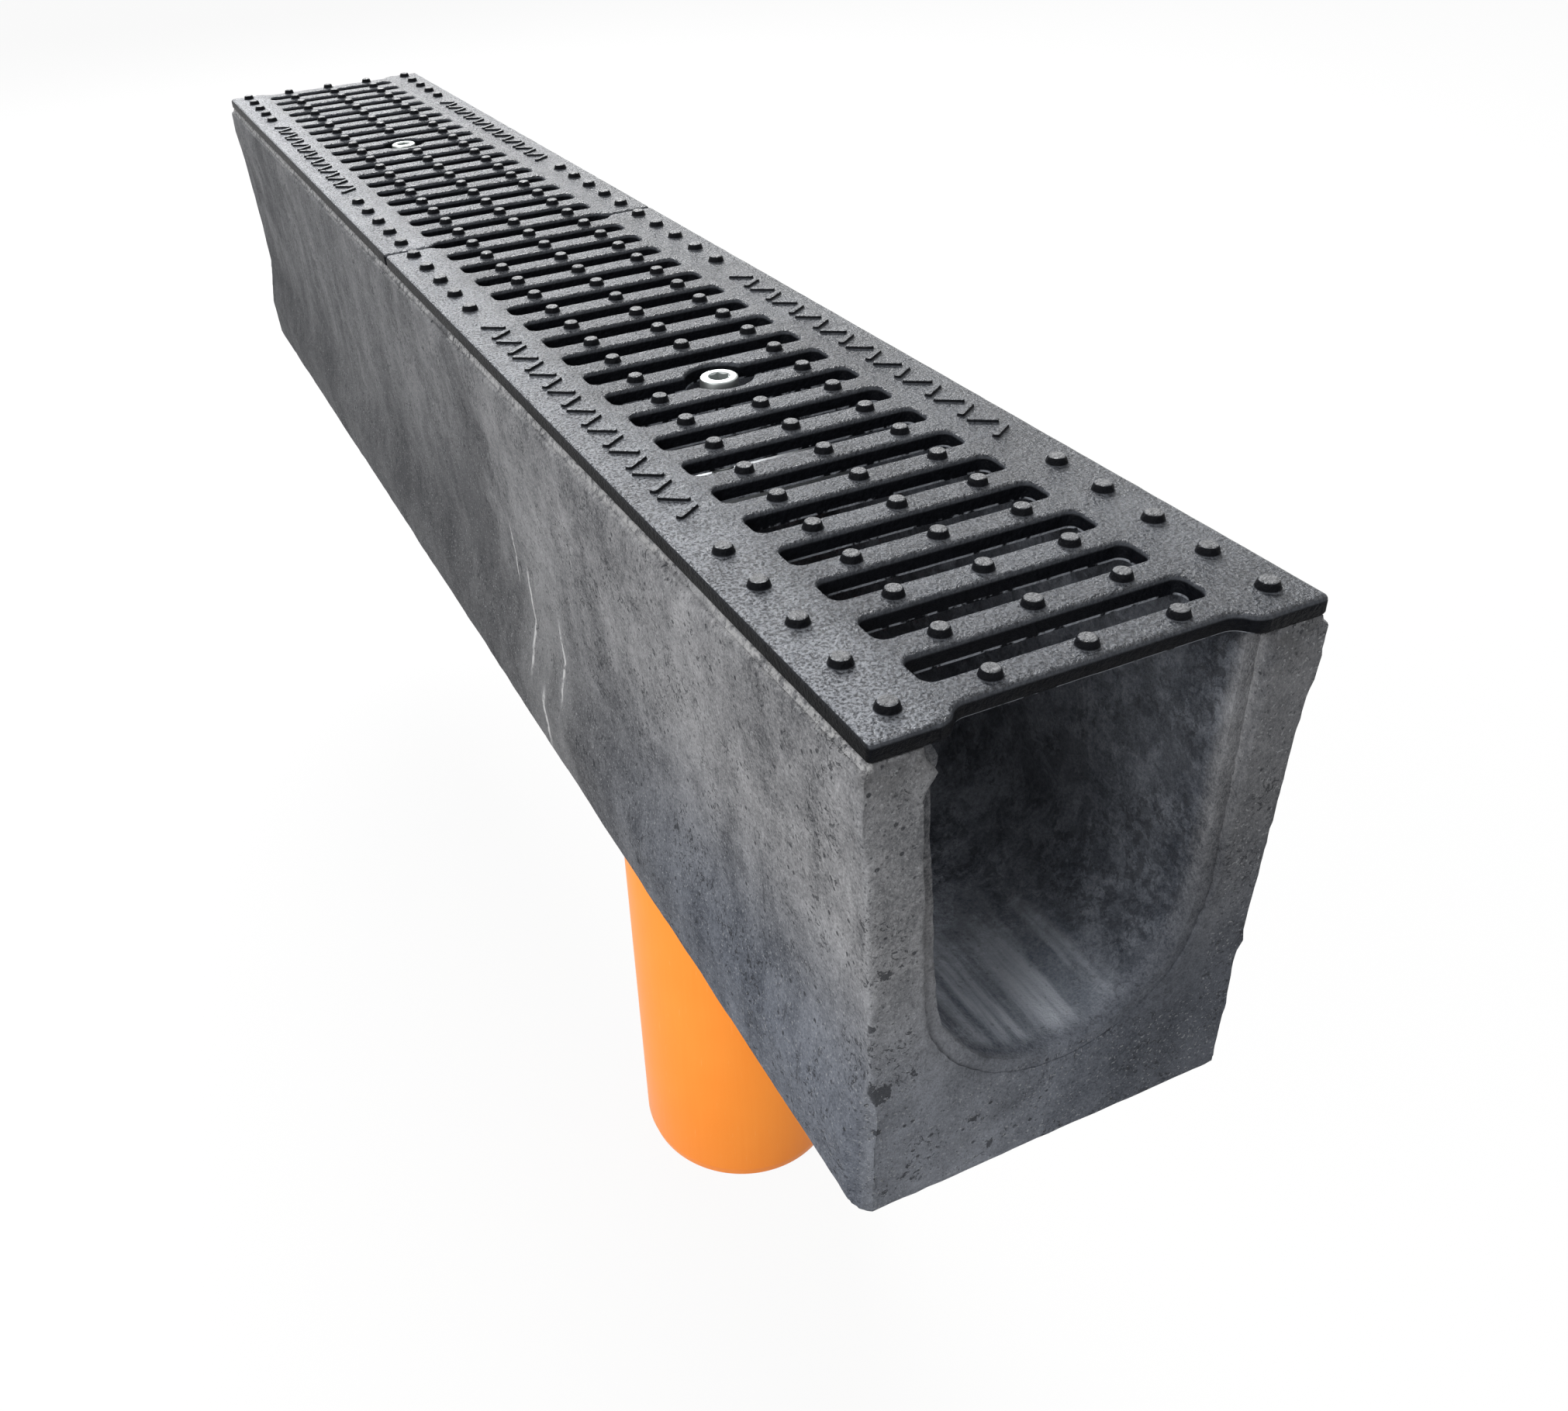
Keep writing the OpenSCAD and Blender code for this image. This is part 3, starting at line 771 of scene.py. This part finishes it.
def roughen_channel(points):
    """Chipped long arrises, the foot's cut corners and the cast skin's small unevenness."""
    moved = points.copy()
    side = np.sign(points[:, 0])
    x = np.abs(points[:, 0])
    z = points[:, 2]
    fine = wobble(points, 5.5, 3.0)
    lumps = wobble(points, 17.0, 11.0)
    broad = wobble(points, 70.0, 19.0)
    bites = wobble(points * [1, 1, 0.2], 26.0, 23.0)
    # Long arrises
    gap = np.hypot(x - 79.2, z - 189.2)
    reach = 3.2 + 1.2 * fine + 4.5 * np.clip((bites - 0.25) * 2.2, 0, 1)
    cut = np.clip(reach - gap, 0, None) * 0.55
    moved[:, 0] -= side * cut * DIAGONAL
    moved[:, 2] -= cut * DIAGONAL
    # Corners of the foot at the ends
    limit = 571.8 - np.abs(points[:, 1]) + 12 * smooth_step(z, 56, 68) + 0.5 * fine
    cut_x = side * np.minimum(np.abs(moved[:, 0]), limit)
    moved[:, 0] = np.where((z < 68) & (x > 60), cut_x, moved[:, 0])
    # Outer sides, inner walls, bowl and end faces
    outward = np.where(x > 66, side, 0.0)
    shift = 0.16 * fine + 0.3 * lumps + 0.5 * broad
    keep = np.where(z > 188.5, 0.0, 1.0)
    moved[:, 0] += outward * (shift - 0.75) * keep
    wall = (x < 56) & (z > INVERT_Z) & (z < 186)
    moved[:, 0] += np.where(wall, side * shift * 0.6, 0.0)
    bowl = (np.hypot(points[:, 0], z - INVERT_Z) < 51.5) & (z <= INVERT_Z)
    flow = wobble(points * [1, 0.03, 1], 9.0, 29.0)
    moved[:, 2] += np.where(bowl, 0.35 * fine + 0.5 * flow, 0.0)
    end = (np.abs(points[:, 1]) > 498.0) & (x < 79)
    inward = -np.sign(points[:, 1])
    moved[:, 1] += np.where(end, inward * (0.22 * (1 + fine) + 0.25 * (1 + lumps)), 0.0)
    # Burr at the top of the near end's left jamb and the mouth's uneven edge
    across, along, up = (points[:, 0] + 57) / 6.5, (points[:, 1] + 499) / 8.0, (z - 179.5) / 4.6
    moved[:, 0] += 4.6 * np.exp(-(across ** 4 + up ** 2 + along ** 4))
    edge = np.exp(-(((points[:, 1] + 497) / 7.0) ** 4)) * (x < 58) * (z > 45) * (z < 186)
    moved[:, 0] -= side * edge * (0.5 * fine + 0.7 * lumps)
    return moved


def make_channel():
    """The channel with its four wall pockets and the socket for the pipe."""
    points, faces = channel_skin()
    body = make_object("channel_concrete", roughen_channel(points), faces, concrete, 55)
    cuts = []
    for y in (NEAR_Y, FAR_Y):
        pocket = [(0, LOCK_Z - 2), (LOCK_POCKET_R, LOCK_Z - 2), (LOCK_POCKET_R, LOCK_ROOF), (0, LOCK_ROOF)]
        cuts.append(turned("pocket_cut", pocket, None, y))
    socket = [(0, -2), (SOCKET_R, -2), (SOCKET_R, SOCKET_ROOF), (OUTLET_BORE_R, SOCKET_ROOF),
              (OUTLET_BORE_R, INVERT_Z), (0, INVERT_Z)]
    cuts.append(turned("socket_cut", socket, None, PIPE_Y))
    combine(body, cuts, "DIFFERENCE", 55)
    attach(body, "channel")
    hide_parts("channel_body")


make_channel()


# Grates: a top plate and a lower tier of bars, each with rounded and drafted edges, and a cup for the bolt
# How far a slot's rounded lip reaches out at the top
SLOT_FLARE = 1.95
SLOTS = range(-(BARS // 2 - 1), BARS // 2)


def slot_ring(k, offset, pocket_r):
    """The outline of slot k, grown by offset; slot 0 widens to the bolt's pocket."""
    flat_x = SLOT_HALF_X - SLOT_R
    flat_y = SLOT_HALF_Y - SLOT_R
    edge_y = SLOT_HALF_Y + offset
    if k == 0:
        big = pocket_r + offset
        edge = math.sqrt(big * big - edge_y ** 2)
        turn = math.degrees(math.asin(edge_y / big))
        left = np.linspace(-flat_x, -edge, 17)[:-1]
        right = np.linspace(edge, flat_x, 17)[1:]
        top = [(x, edge_y) for x in right[::-1]]
        top += arc(0, 0, big, turn, 180 - turn, 24)
        top += [(x, edge_y) for x in left[::-1]]
    else:
        top = [(x, edge_y) for x in np.linspace(-flat_x, flat_x, 45)[::-1]]
    r = SLOT_R + offset
    ring = top + arc(-flat_x, flat_y, r, 90, 180, 7)[1:]
    ring += arc(-flat_x, -flat_y, r, 180, 270, 7)
    ring += [(-x, -y) for x, y in top[1:]]
    ring += arc(flat_x, -flat_y, r, 270, 360, 7)[1:]
    ring += arc(flat_x, flat_y, r, 0, 90, 7)[:-1]
    return np.array(ring) + [0, k * PITCH]


def corner_ring(corners, inset):
    """A closed outline from (x, y, radius, steps) corners, counter-clockwise, moved in by inset.
    steps is the number of pieces that the straight side after the corner is divided into."""
    places = np.array([c[:2] for c in corners], float)
    count = len(corners)
    ring = []
    for i, (x, y, radius, steps) in enumerate(corners):
        before = places[i] - places[i - 1]
        after = places[(i + 1) % count] - places[i]
        before /= np.linalg.norm(before)
        after /= np.linalg.norm(after)
        turn = math.atan2(before[0] * after[1] - before[1] * after[0], before @ after)
        sign = 1 if turn > 0 else -1
        n0 = np.array([-before[1], before[0]])
        n1 = np.array([-after[1], after[0]])
        spot = places[i] + inset * (n0 + n1) / (1 + before @ after)
        r = max(radius - sign * inset, 0.05)
        centre = spot - before * r * math.tan(abs(turn) / 2) + sign * n0 * r
        start = math.degrees(math.atan2(-sign * n0[1], -sign * n0[0]))
        ring += arc(centre[0], centre[1], r, start, start + math.degrees(turn), 6)
        if steps:
            along = places[(i + 1) % count] - places[i]
            for k in range(1, steps):
                spot = places[i] + along * (0.02 + 0.96 * k / steps) + inset * n1
                ring.append((spot[0], spot[1]))
    return np.array(ring)


def plate_corners(half_x, half_y, notch_x, notch):
    """Corners of a grate's outline, stepped back softly in front of each end bar where notch is over 0."""
    if notch <= 0:
        return [(-half_x, -half_y, 3, 40), (half_x, -half_y, 3, 90),
                (half_x, half_y, 3, 40), (-half_x, half_y, 3, 90)]
    slant = notch / math.tan(math.radians(55)) / 2
    out = notch_x + slant
    deep = notch_x - slant
    low = -half_y + notch
    return [(-half_x, -half_y, 2, 8), (-out, -half_y, 7, 0), (-deep, low, 7, 40),
            (deep, low, 7, 0), (out, -half_y, 7, 8), (half_x, -half_y, 2, 110),
            (half_x, half_y, 2, 8), (out, half_y, 7, 0), (deep, -low, 7, 40),
            (-deep, -low, 7, 0), (-out, half_y, 7, 8), (-half_x, half_y, 2, 110)]


def in_ring(ring, x, y):
    """True where (x, y) lies inside a closed outline."""
    x0, y0 = ring[:, 0], ring[:, 1]
    x1, y1 = np.roll(x0, -1), np.roll(y0, -1)
    crosses = (y0 > y) != (y1 > y)
    at = x0[crosses] + (y - y0[crosses]) * (x1[crosses] - x0[crosses]) / (y1[crosses] - y0[crosses])
    return int(np.count_nonzero(at > x)) % 2 == 1


class Shell:
    """Collects rings and faces of one closed casting."""

    def __init__(self):
        self.points = []
        self.faces = []

    def ring(self, xy, z):
        """Adds points at height z and gives their numbers."""
        start = sum(len(p) for p in self.points)
        self.points.append(level(xy, z))
        return list(range(start, start + len(xy)))

    def bands(self, rings):
        """Walls between each ring and the next."""
        for a, b in zip(rings[:-1], rings[1:]):
            n = len(a)
            self.faces += [[a[k], a[(k + 1) % n], b[(k + 1) % n], b[k]] for k in range(n)]

    def lump(self, rings):
        """Walls up to a closed top; gives the lowest ring."""
        self.bands(rings)
        self.faces.append(list(rings[-1]))
        return rings[0]

    def sheet(self, outline, holes, inside):
        """Triangles between an outline and its holes; inside(x, y) says which belong."""
        every = np.concatenate(self.points)
        index = list(outline) + [i for h in holes for i in h]
        edges = []
        at = 0
        for loop in [outline, *holes]:
            n = len(loop)
            edges += [(at + k, at + (k + 1) % n) for k in range(n)]
            at += n
        flat = [Vector((every[i, 0], every[i, 1])) for i in index]
        made = delaunay_2d_cdt(flat, edges, [], 0, 1e-7)
        origin = [o[0] if o else -1 for o in made[3]]
        for tri in made[2]:
            ids = [origin[v] for v in tri]
            if -1 in ids:
                continue
            centre = every[[index[v] for v in ids]].mean(0)
            if inside(centre[0], centre[1]):
                self.faces.append([index[v] for v in ids])


def in_slot(x, y, offset, middle_r):
    """True where a point lies in a slot, or in the bolt's pocket, grown by offset."""
    k = round(y / PITCH)
    if k in SLOTS:
        dx = max(abs(x) - SLOT_HALF_X + SLOT_R, 0.0)
        dy = max(abs(y - k * PITCH) - SLOT_HALF_Y + SLOT_R, 0.0)
        if math.hypot(dx, dy) < SLOT_R + offset:
            return True
    return math.hypot(x, y) < middle_r + offset


def stud_places():
    """(x, y, radius) of each stud."""
    places = []
    for i in range(BARS):
        from_middle = i - (BARS - 1) / 2
        y = from_middle * PITCH
        for x in (-STUD_X, 0.0, STUD_X):
            if x != 0 or abs(from_middle) > 1:
                places.append((x, y, STUD_R))
        if i < RIM_STUD_BARS or i >= BARS - RIM_STUD_BARS:
            places += [(-RIM_STUD_X, y, RIM_STUD_R), (RIM_STUD_X, y, RIM_STUD_R)]
    return places


def rib_places():
    """(x, y, turn) of each rib of the zigzags between the rims' studs."""
    run = GRATE_L - 2 * (RIM_STUD_BARS + 0.5) * PITCH
    return [(side * RIB_X, -run / 2 + (i + 0.5) * run / RIBS, RIB_TURN if i % 2 == 0 else -RIB_TURN)
            for side in (-1, 1) for i in range(RIBS)]


def rib_ring(place, grow):
    """A rib's outline, grown by that much."""
    x, y, turn = place
    half_l = RIB_HALF_L + grow
    half_w = RIB_HALF_W + grow
    r = RIB_ROUND + grow
    ring = []
    for sx, sy, a in ((1, 1, 0), (-1, 1, 90), (-1, -1, 180), (1, -1, 270)):
        ring += arc(sx * (half_l - r), sy * (half_w - r), r, a, a + 90, 4)
    c, s = cos_deg(turn), sin_deg(turn)
    return np.array([(x + u * c - v * s, y + u * s + v * c) for u, v in ring])


def top_plate():
    """The plate with its slots, studs and ribs."""
    shell = Shell()
    corners = plate_corners(GRATE_W / 2, GRATE_L / 2, NOTCH_X, SETBACK)
    rounding = [(2.1, 0.0), (1.45, 0.12), (0.9, 0.42), (0.5, 0.85), (0.2, 1.4), (0.0, 2.3), (0.0, 5.9),
                (0.35, 6.6), (1.0, 7.0)]
    edges = [corner_ring(corners, inset) for inset, drop in rounding]
    outside = [shell.ring(edge, TOP - drop) for edge, (inset, drop) in zip(edges, rounding)]
    shell.bands(outside)
    walls = [(SLOT_FLARE, 0.0), (1.35, 0.12), (0.85, 0.4), (0.5, 0.85), (0.3, 1.5), (0.15, 3.0), (0.05, 5.0),
             (0.0, 7.0)]
    tops = []
    unders = []
    for k in SLOTS:
        rings = [shell.ring(slot_ring(k, offset, POCKET_R), TOP - drop) for offset, drop in walls]
        shell.bands(rings)
        tops.append(rings[0])
        unders.append(rings[-1])
    circle = np.array(arc(0, 0, 1.0, 0, 345, 23))
    form = [(1.0, 0.0), (0.975, 0.09), (0.94, 0.42), (0.89, 1.2), (0.82, 2.1), (0.73, 2.66), (0.61, 2.94),
            (0.42, 3.0)]
    studs = stud_places()
    for x, y, r in studs:
        tops.append(shell.lump([shell.ring(circle * r * share + [x, y], TOP + lift) for share, lift in form]))
    rib_form = [(0.35, 0.0), (0.08, 0.12), (-0.05, 0.45), (-0.15, 1.0), (-0.35, 1.3), (-0.75, 1.42)]
    ribs = rib_places()
    for place in ribs:
        tops.append(shell.lump([shell.ring(rib_ring(place, grow), TOP + lift) for grow, lift in rib_form]))

    def inside_top(x, y):
        if in_slot(x, y, SLOT_FLARE, POCKET_R) or not in_ring(edges[0], x, y):
            return False
        for sx, sy, r in studs:
            if abs(x - sx) < r and abs(y - sy) < r and math.hypot(x - sx, y - sy) < r * 0.985:
                return False
        for rx, ry, turn in ribs:
            if abs(x - rx) < 8 and abs(y - ry) < 8:
                c, s = cos_deg(turn), sin_deg(turn)
                u = (x - rx) * c + (y - ry) * s
                v = -(x - rx) * s + (y - ry) * c
                du = max(abs(u) - RIB_HALF_L + RIB_ROUND, 0)
                dv = max(abs(v) - RIB_HALF_W + RIB_ROUND, 0)
                if math.hypot(du, dv) < 1.53:
                    return False
        return True

    def inside_under(x, y):
        return in_ring(edges[-1], x, y) and not in_slot(x, y, 0.0, POCKET_R)

    shell.sheet(outside[0], tops, inside_top)
    shell.sheet(outside[-1], unders, inside_under)
    return make_object("plate", np.concatenate(shell.points), shell.faces, iron, 38)


def under_z(ring):
    """Height of the bars' arched underside at each point of a ring."""
    return TOP - TIER_DEPTH + TIER_RISE * (ring[:, 0] / 51.5) ** 2


def rough_slot(k, ring):
    """A slot's ring with its two ends pushed in and out, as cast walls are."""
    rough = wobble(level(ring, 0.0), 7.0, 5.0 + k)
    away = ring - np.array([0, k * PITCH])
    away[:, 0] = np.sign(away[:, 0]) * np.clip(np.abs(away[:, 0]) - 45, 0, None)
    away /= np.maximum(np.linalg.norm(away, axis=1), 1e-6)[:, None]
    return ring + away * (0.6 * rough)[:, None]


def lower_tier():
    """The deeper bars under the plate, with draft and an arched underside."""
    shell = Shell()
    half_x = 51.6
    half_y = GRATE_L / 2 - SETBACK + 0.8
    pocket_r = POCKET_R + POCKET_WALL
    corners = plate_corners(half_x, half_y, 0, 0)
    outside = []
    sides = ((1.5, 6.2, 0), (0.5, 6.4, 0.45), (0.0, 7.0, 0.45), (0.15, 8.5, 0), (0.5, 11.0, 0.45))
    for inset, drop, rough in sides:
        ring = corner_ring(corners, inset)
        if rough:
            spread = rough * wobble(level(ring, 0.0), 6.0, 5.0)
            ring = ring * (1 + spread[:, None] / 250.0)
        outside.append(shell.ring(ring, TOP - drop))
    for inset, lift in ((0.8, 1.0), (1.1, 0.3), (1.7, 0.0)):
        ring = corner_ring(corners, inset)
        outside.append(shell.ring(ring, under_z(ring) + lift))
    shell.bands(outside)
    tops = []
    unders = []
    for k in SLOTS:
        rings = [shell.ring(slot_ring(k, 0.6, pocket_r), TOP - 6.2)]
        for offset, drop in ((-0.35, 6.42), (-0.85, 7.0), (-0.75, 8.5), (-0.35, 11.0)):
            rings.append(shell.ring(rough_slot(k, slot_ring(k, offset, pocket_r)), TOP - drop))
        for offset, lift in ((0.0, 1.0), (0.3, 0.3), (0.9, 0.0)):
            ring = slot_ring(k, offset, pocket_r)
            rings.append(shell.ring(ring, under_z(ring) + lift))
        shell.bands(rings)
        tops.append(rings[0])
        unders.append(rings[-1])

    def inside_top(x, y):
        return abs(x) < half_x - 1.5 and abs(y) < half_y - 1.5 and not in_slot(x, y, 0.6, pocket_r)

    def inside_under(x, y):
        return abs(x) < half_x - 1.7 and abs(y) < half_y - 1.7 and not in_slot(x, y, 0.9, pocket_r)

    shell.sheet(outside[0], tops, inside_top)
    shell.sheet(outside[-1], unders, inside_under)
    return make_object("tier", np.concatenate(shell.points), shell.faces, iron, 38)


def bolt_cup():
    """The ring round the bolt's head and the floor that the washer sits on."""
    outline = [(5.5, -5.4), (6.1, -6), (15.8, -6), (16.7, -5.6), (17, -4.8), (17, 6.1), (16.2, 6.5),
               (14.05, 6.5), (14, 5.7), (14, 1.2), (13.6, 0.4), (12.8, 0), (6.1, 0), (5.5, -0.6)]
    return turned("cup", outline, iron, 0.0, 72, base=SEAT_Z)


def make_grates():
    """One casting, roughened and painted, then set in both places."""
    # Known fault: the plate has faulty edges, so this union is skipped and tier and cup are lost
    grate = combine(top_plate(), [lower_tier(), bolt_cup()], "UNION", 38)
    co = np.zeros(len(grate.data.vertices) * 3)
    grate.data.vertices.foreach_get("co", co)
    co = co.reshape(-1, 3)
    mm = co * 1000
    soft = wobble(mm, 9.0, 41.0) * 0.1 + wobble(mm, 3.5, 43.0) * 0.05
    normals = np.zeros(len(co) * 3)
    grate.data.vertices.foreach_get("normal", normals)
    co += normals.reshape(-1, 3) * (soft - 0.12)[:, None] * MM
    grate.data.vertices.foreach_set("co", co.ravel())
    grate.data.materials.clear()
    grate.data.materials.append(iron)
    grate.data.materials.append(iron_wall)
    # Up-facing top faces get the copy of the paint lightened by painted sheen; every other face gets the
    # near-black copy
    skin_from = (TOP - 2.0) * MM
    for face in grate.data.polygons:
        face.material_index = 0 if face.normal.z > 0.6 and face.center.z > skin_from else 1
    for name, y in (("near", NEAR_Y), ("far", FAR_Y)):
        mesh = grate.data.copy()
        for vertex in mesh.vertices:
            vertex.co.y += y * MM
        piece = bpy.data.objects.new("grate_" + name + "_cast", mesh)
        link(piece)
        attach(piece, "grate_" + name + "_lift")
        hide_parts("grate_" + name)
    bpy.data.objects.remove(grate)


make_grates()


# Bolts, washers, lock bars and nuts
def hexagon(across_flats, y, turn=0.0):
    """Corners of a regular hexagon about (0, y)."""
    r = across_flats / 2 / math.cos(math.pi / 6)
    return [(r * cos_deg(60 * k + turn), y + r * sin_deg(60 * k + turn)) for k in range(6)]


def make_bolt(name, y):
    """A socket screw: a turned head with a hexagonal hole, and a shank with thread ridges."""
    head_low = HEAD_Z - HEAD_H
    head = [(0, -HEAD_H - 0.5), (7.2, -HEAD_H - 0.5), (7.2, -HEAD_H), (7.7, -HEAD_H), (7.95, 0.4 - HEAD_H),
            (7.95, -0.9), (7.75, -0.35), (7.3, -0.05), (6.9, 0), (0, 0)]
    piece = turned(name, head, bright_steel, y, 64, 30, HEAD_Z)
    mouth = [(0, -1), (4.1, -0.7), (4.95, 0.15), (4.95, 1), (0, 1)]
    key_hole = prism("hex_cut", hexagon(KEY_SIZE, y, 12), HEAD_Z - KEY_DEPTH, HEAD_Z + 1)
    combine(piece, [key_hole, turned("mouth_cut", mouth, None, y, 48, base=HEAD_Z)], "DIFFERENCE", 30)
    sides = 40
    low = head_low - SHANK_L
    heights = np.concatenate([[low], np.arange(low + 0.25, head_low + 1.01, 0.25)])
    points = []
    for z in heights:
        for k in range(sides):
            a = 2 * math.pi * k / sides
            turn = ((z - low) / THREAD_STEP - k / sides) % 1.0
            ridge = abs(turn - 0.5) * 2
            fade = min(1.0, (z - low) / 2.0, max(0.0, (head_low - SMOOTH_SHANK - z) / 2.0))
            r = SHANK_R - 0.8 * ridge * fade - 0.9 * max(0.0, 1 - (z - low) / 1.2)
            points.append((r * math.cos(a), y + r * math.sin(a), z))
    faces = []
    for j in range(len(heights) - 1):
        for k in range(sides):
            m = (k + 1) % sides
            faces.append([j * sides + k, j * sides + m, (j + 1) * sides + m, (j + 1) * sides + k])
    faces.append(list(range(sides)))
    faces.append(list(range(len(points) - sides, len(points))))
    shank = make_object("shank", points, faces, bright_steel, 60)
    return combine(piece, [shank], "UNION", 30)


def make_washer(name, y):
    """A flat washer with soft edges."""
    outline = [(5.25, 0.15), (5.4, 0), (9.7, 0), (9.95, 0.25), (9.95, 1.6), (9.6, 2), (5.5, 2), (5.25, 1.8)]
    return turned(name, outline, zinc_steel, y, 64, 35, SEAT_Z)


def make_lock_bar(name, y):
    """A strip folded to an inverted trough with round bends, its ends cut to a circle."""
    low = LOCK_Z
    high = LOCK_Z + LOCK_H
    bend = [(4 - 4 * cos_deg(a), 4 * sin_deg(a)) for a in range(0, 91, 15)]
    outer = [(-13.0, low)] + [(-13 + u, high - 4 + v) for u, v in bend]
    right = [(-u, v) for u, v in reversed(outer)]
    inner = [(9.0, low), (9.0, high - 5.0), (8.7, high - 4.3), (8.0, high - 4.0)]
    inner += [(-u, v) for u, v in reversed(inner)]
    section = outer + right + inner
    n = len(section)
    points = [(-62.0, y + v, z) for v, z in section] + [(62.0, y + v, z) for v, z in section]
    faces = [[k, (k + 1) % n, (k + 1) % n + n, k + n] for k in range(n)]
    faces += [list(range(n)), list(range(n, 2 * n))]
    bar = make_object(name, points, faces, zinc_steel, 35)
    round_ends = [(0, low - 1), (LOCK_HALF, low - 1), (LOCK_HALF, high + 1), (0, high + 1)]
    disc = turned("disc", round_ends, None, y, 160)
    combine(bar, [disc], "INTERSECT", 35)
    hole = [(0, low), (5.5, low), (5.5, high - 0.4), (5.9, high + 0.5), (0, high + 0.5)]
    hole = turned("hole", hole, None, y, 48)
    return combine(bar, [hole], "DIFFERENCE", 35)


def make_nut(name, y):
    """A hexagon nut with its corners turned down and its bore countersunk."""
    low = LOCK_Z + 2
    piece = prism(name, hexagon(NUT_SIZE, y), low, low + NUT_H, zinc_steel)
    lens = [(0, -0.1), (8.3, -0.1), (9.9, 0.85), (9.9, 7.15), (8.3, 8.1), (0, 8.1)]
    combine(piece, [turned("lens", lens, None, y, 64, base=low)], "INTERSECT", 25)
    bore = [(0, -1), (5.6, -1), (5.6, -0.05), (5.05, 0.5), (5.05, 7.5), (5.6, 8.05), (5.6, 9), (0, 9)]
    return combine(piece, [turned("bore", bore, None, y, 48, base=low)], "DIFFERENCE", 25)


# Maker, node, body and finish of each fixing, once for either grate
FIXINGS = ((make_bolt, "bolt_{}", "bolt_{}_screw", "bright_steel"),
           (make_washer, "washer_{}", "washer_{}_ride", "zinc_steel"),
           (make_lock_bar, "lock_bar_{}", "lock_{}_swing", "zinc_steel"),
           (make_nut, "nut_{}", "lock_{}_swing", "zinc_steel"))

for where, y_at in (("near", NEAR_Y), ("far", FAR_Y)):
    for make, node, body, finish in FIXINGS:
        node = node.format(where)
        piece = make(node + "_steel", y_at)
        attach(piece, body.format(where))
        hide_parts(node)


# Outlet pipe and its seal
def make_pipe():
    """A pipe with a bevelled lower end and a slimmer neck inside the seal."""
    low = PIPE_LOW
    outline = [(PIPE_BORE_R, low + 0.5), (52.1, low + 0.1), (52.5, low), (53.0, low + 0.05),
               (53.45, low + 0.35), (54.9, low + 5.6)]
    outline += [(PIPE_R, low + up) for up in (6.4, 60, 120, 180)]
    outline += [(PIPE_R, -6.3), (54.8, -5.9), (PIPE_NECK_R, -5.3), (PIPE_NECK_R, 31.2), (53.8, 31.8),
                (53.4, 32.0), (52.2, 32.0), (PIPE_BORE_R, 31.6), (PIPE_BORE_R, -60), (PIPE_BORE_R, low + 100)]
    pipe = turned("outlet_pipe_plastic", outline, orange_plastic, PIPE_Y, 160, 35)
    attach(pipe, "channel")
    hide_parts("outlet_pipe")


make_pipe()
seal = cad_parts["outlet_seal"]
seal.data.materials.clear()
seal.data.materials.append(seal_rubber)


# Floor, light and the world behind
WHITE = (1, 1, 1)
# Share of the floor's seen colour that is its own glow
GLOW_SHARE = 0.93


def seen_directly(tree):
    """1 for what the camera and reflections see, 0 for the light that falls on the object."""
    path = add_node(tree, "LightPath").outputs
    return add_node(tree, "Math", {0: path["Is Camera Ray"], 1: path["Is Glossy Ray"]},
                    operation="MAXIMUM").outputs[0]


def make_floor():
    """A pale floor that glows to near white where it is seen and keeps the object's shadow."""
    reach = 30.0
    mesh = bpy.data.meshes.new("floor")
    corners = [(x * reach, y * reach, PIPE_LOW * MM) for x, y in ((-1, -1), (1, -1), (1, 1), (-1, 1))]
    mesh.from_pydata(corners, [], [[0, 1, 2, 3]])
    floor = bpy.data.objects.new("floor", mesh)
    link(floor)
    material = bpy.data.materials.new("floor_white")
    material.use_nodes = True
    tree = material.node_tree
    tree.nodes.clear()
    glow_part = add_node(tree, "Math", {0: seen_directly(tree), 1: GLOW_SHARE}, operation="MULTIPLY")
    shade = add_node(tree, "BsdfDiffuse", {"Color": (0.58, 0.58, 0.58)})
    glow = add_node(tree, "Emission", {"Color": WHITE})
    mix = add_node(tree, "MixShader", {0: glow_part.outputs[0], 1: shade.outputs[0], 2: glow.outputs[0]})
    add_node(tree, "OutputMaterial", {0: mix.outputs[0]})
    mesh.materials.append(material)


def make_world():
    """White where it is seen, dimmer as the light on the object."""
    world = bpy.data.worlds.new("world")
    bpy.context.scene.world = world
    world.use_nodes = True
    tree = world.node_tree
    tree.nodes.clear()
    strength = add_node(tree, "MapRange", {"Value": seen_directly(tree), "To Min": 0.45, "To Max": 1.0})
    back = add_node(tree, "Background", {"Color": WHITE, "Strength": strength.outputs["Result"]})
    add_node(tree, "OutputWorld", {0: back.outputs[0]})


def lamp(name, place, target, size, watts):
    """A round area lamp at place, turned to target."""
    data = bpy.data.lights.new(name, "AREA")
    data.shape = "DISK"
    data.size = size
    data.energy = watts
    made = bpy.data.objects.new(name, data)
    made.location = place
    made.rotation_euler = (Vector(target) - Vector(place)).to_track_quat("-Z", "Y").to_euler()
    link(made)


make_floor()
make_world()
lamp("key", (-2.1, -1.1, 1.5), (0, -0.1, 0.1), 1.5, 54)
lamp("back", (0.5, 2.5, 2.3), (0, -0.2, 0.18), 1.8, 250)
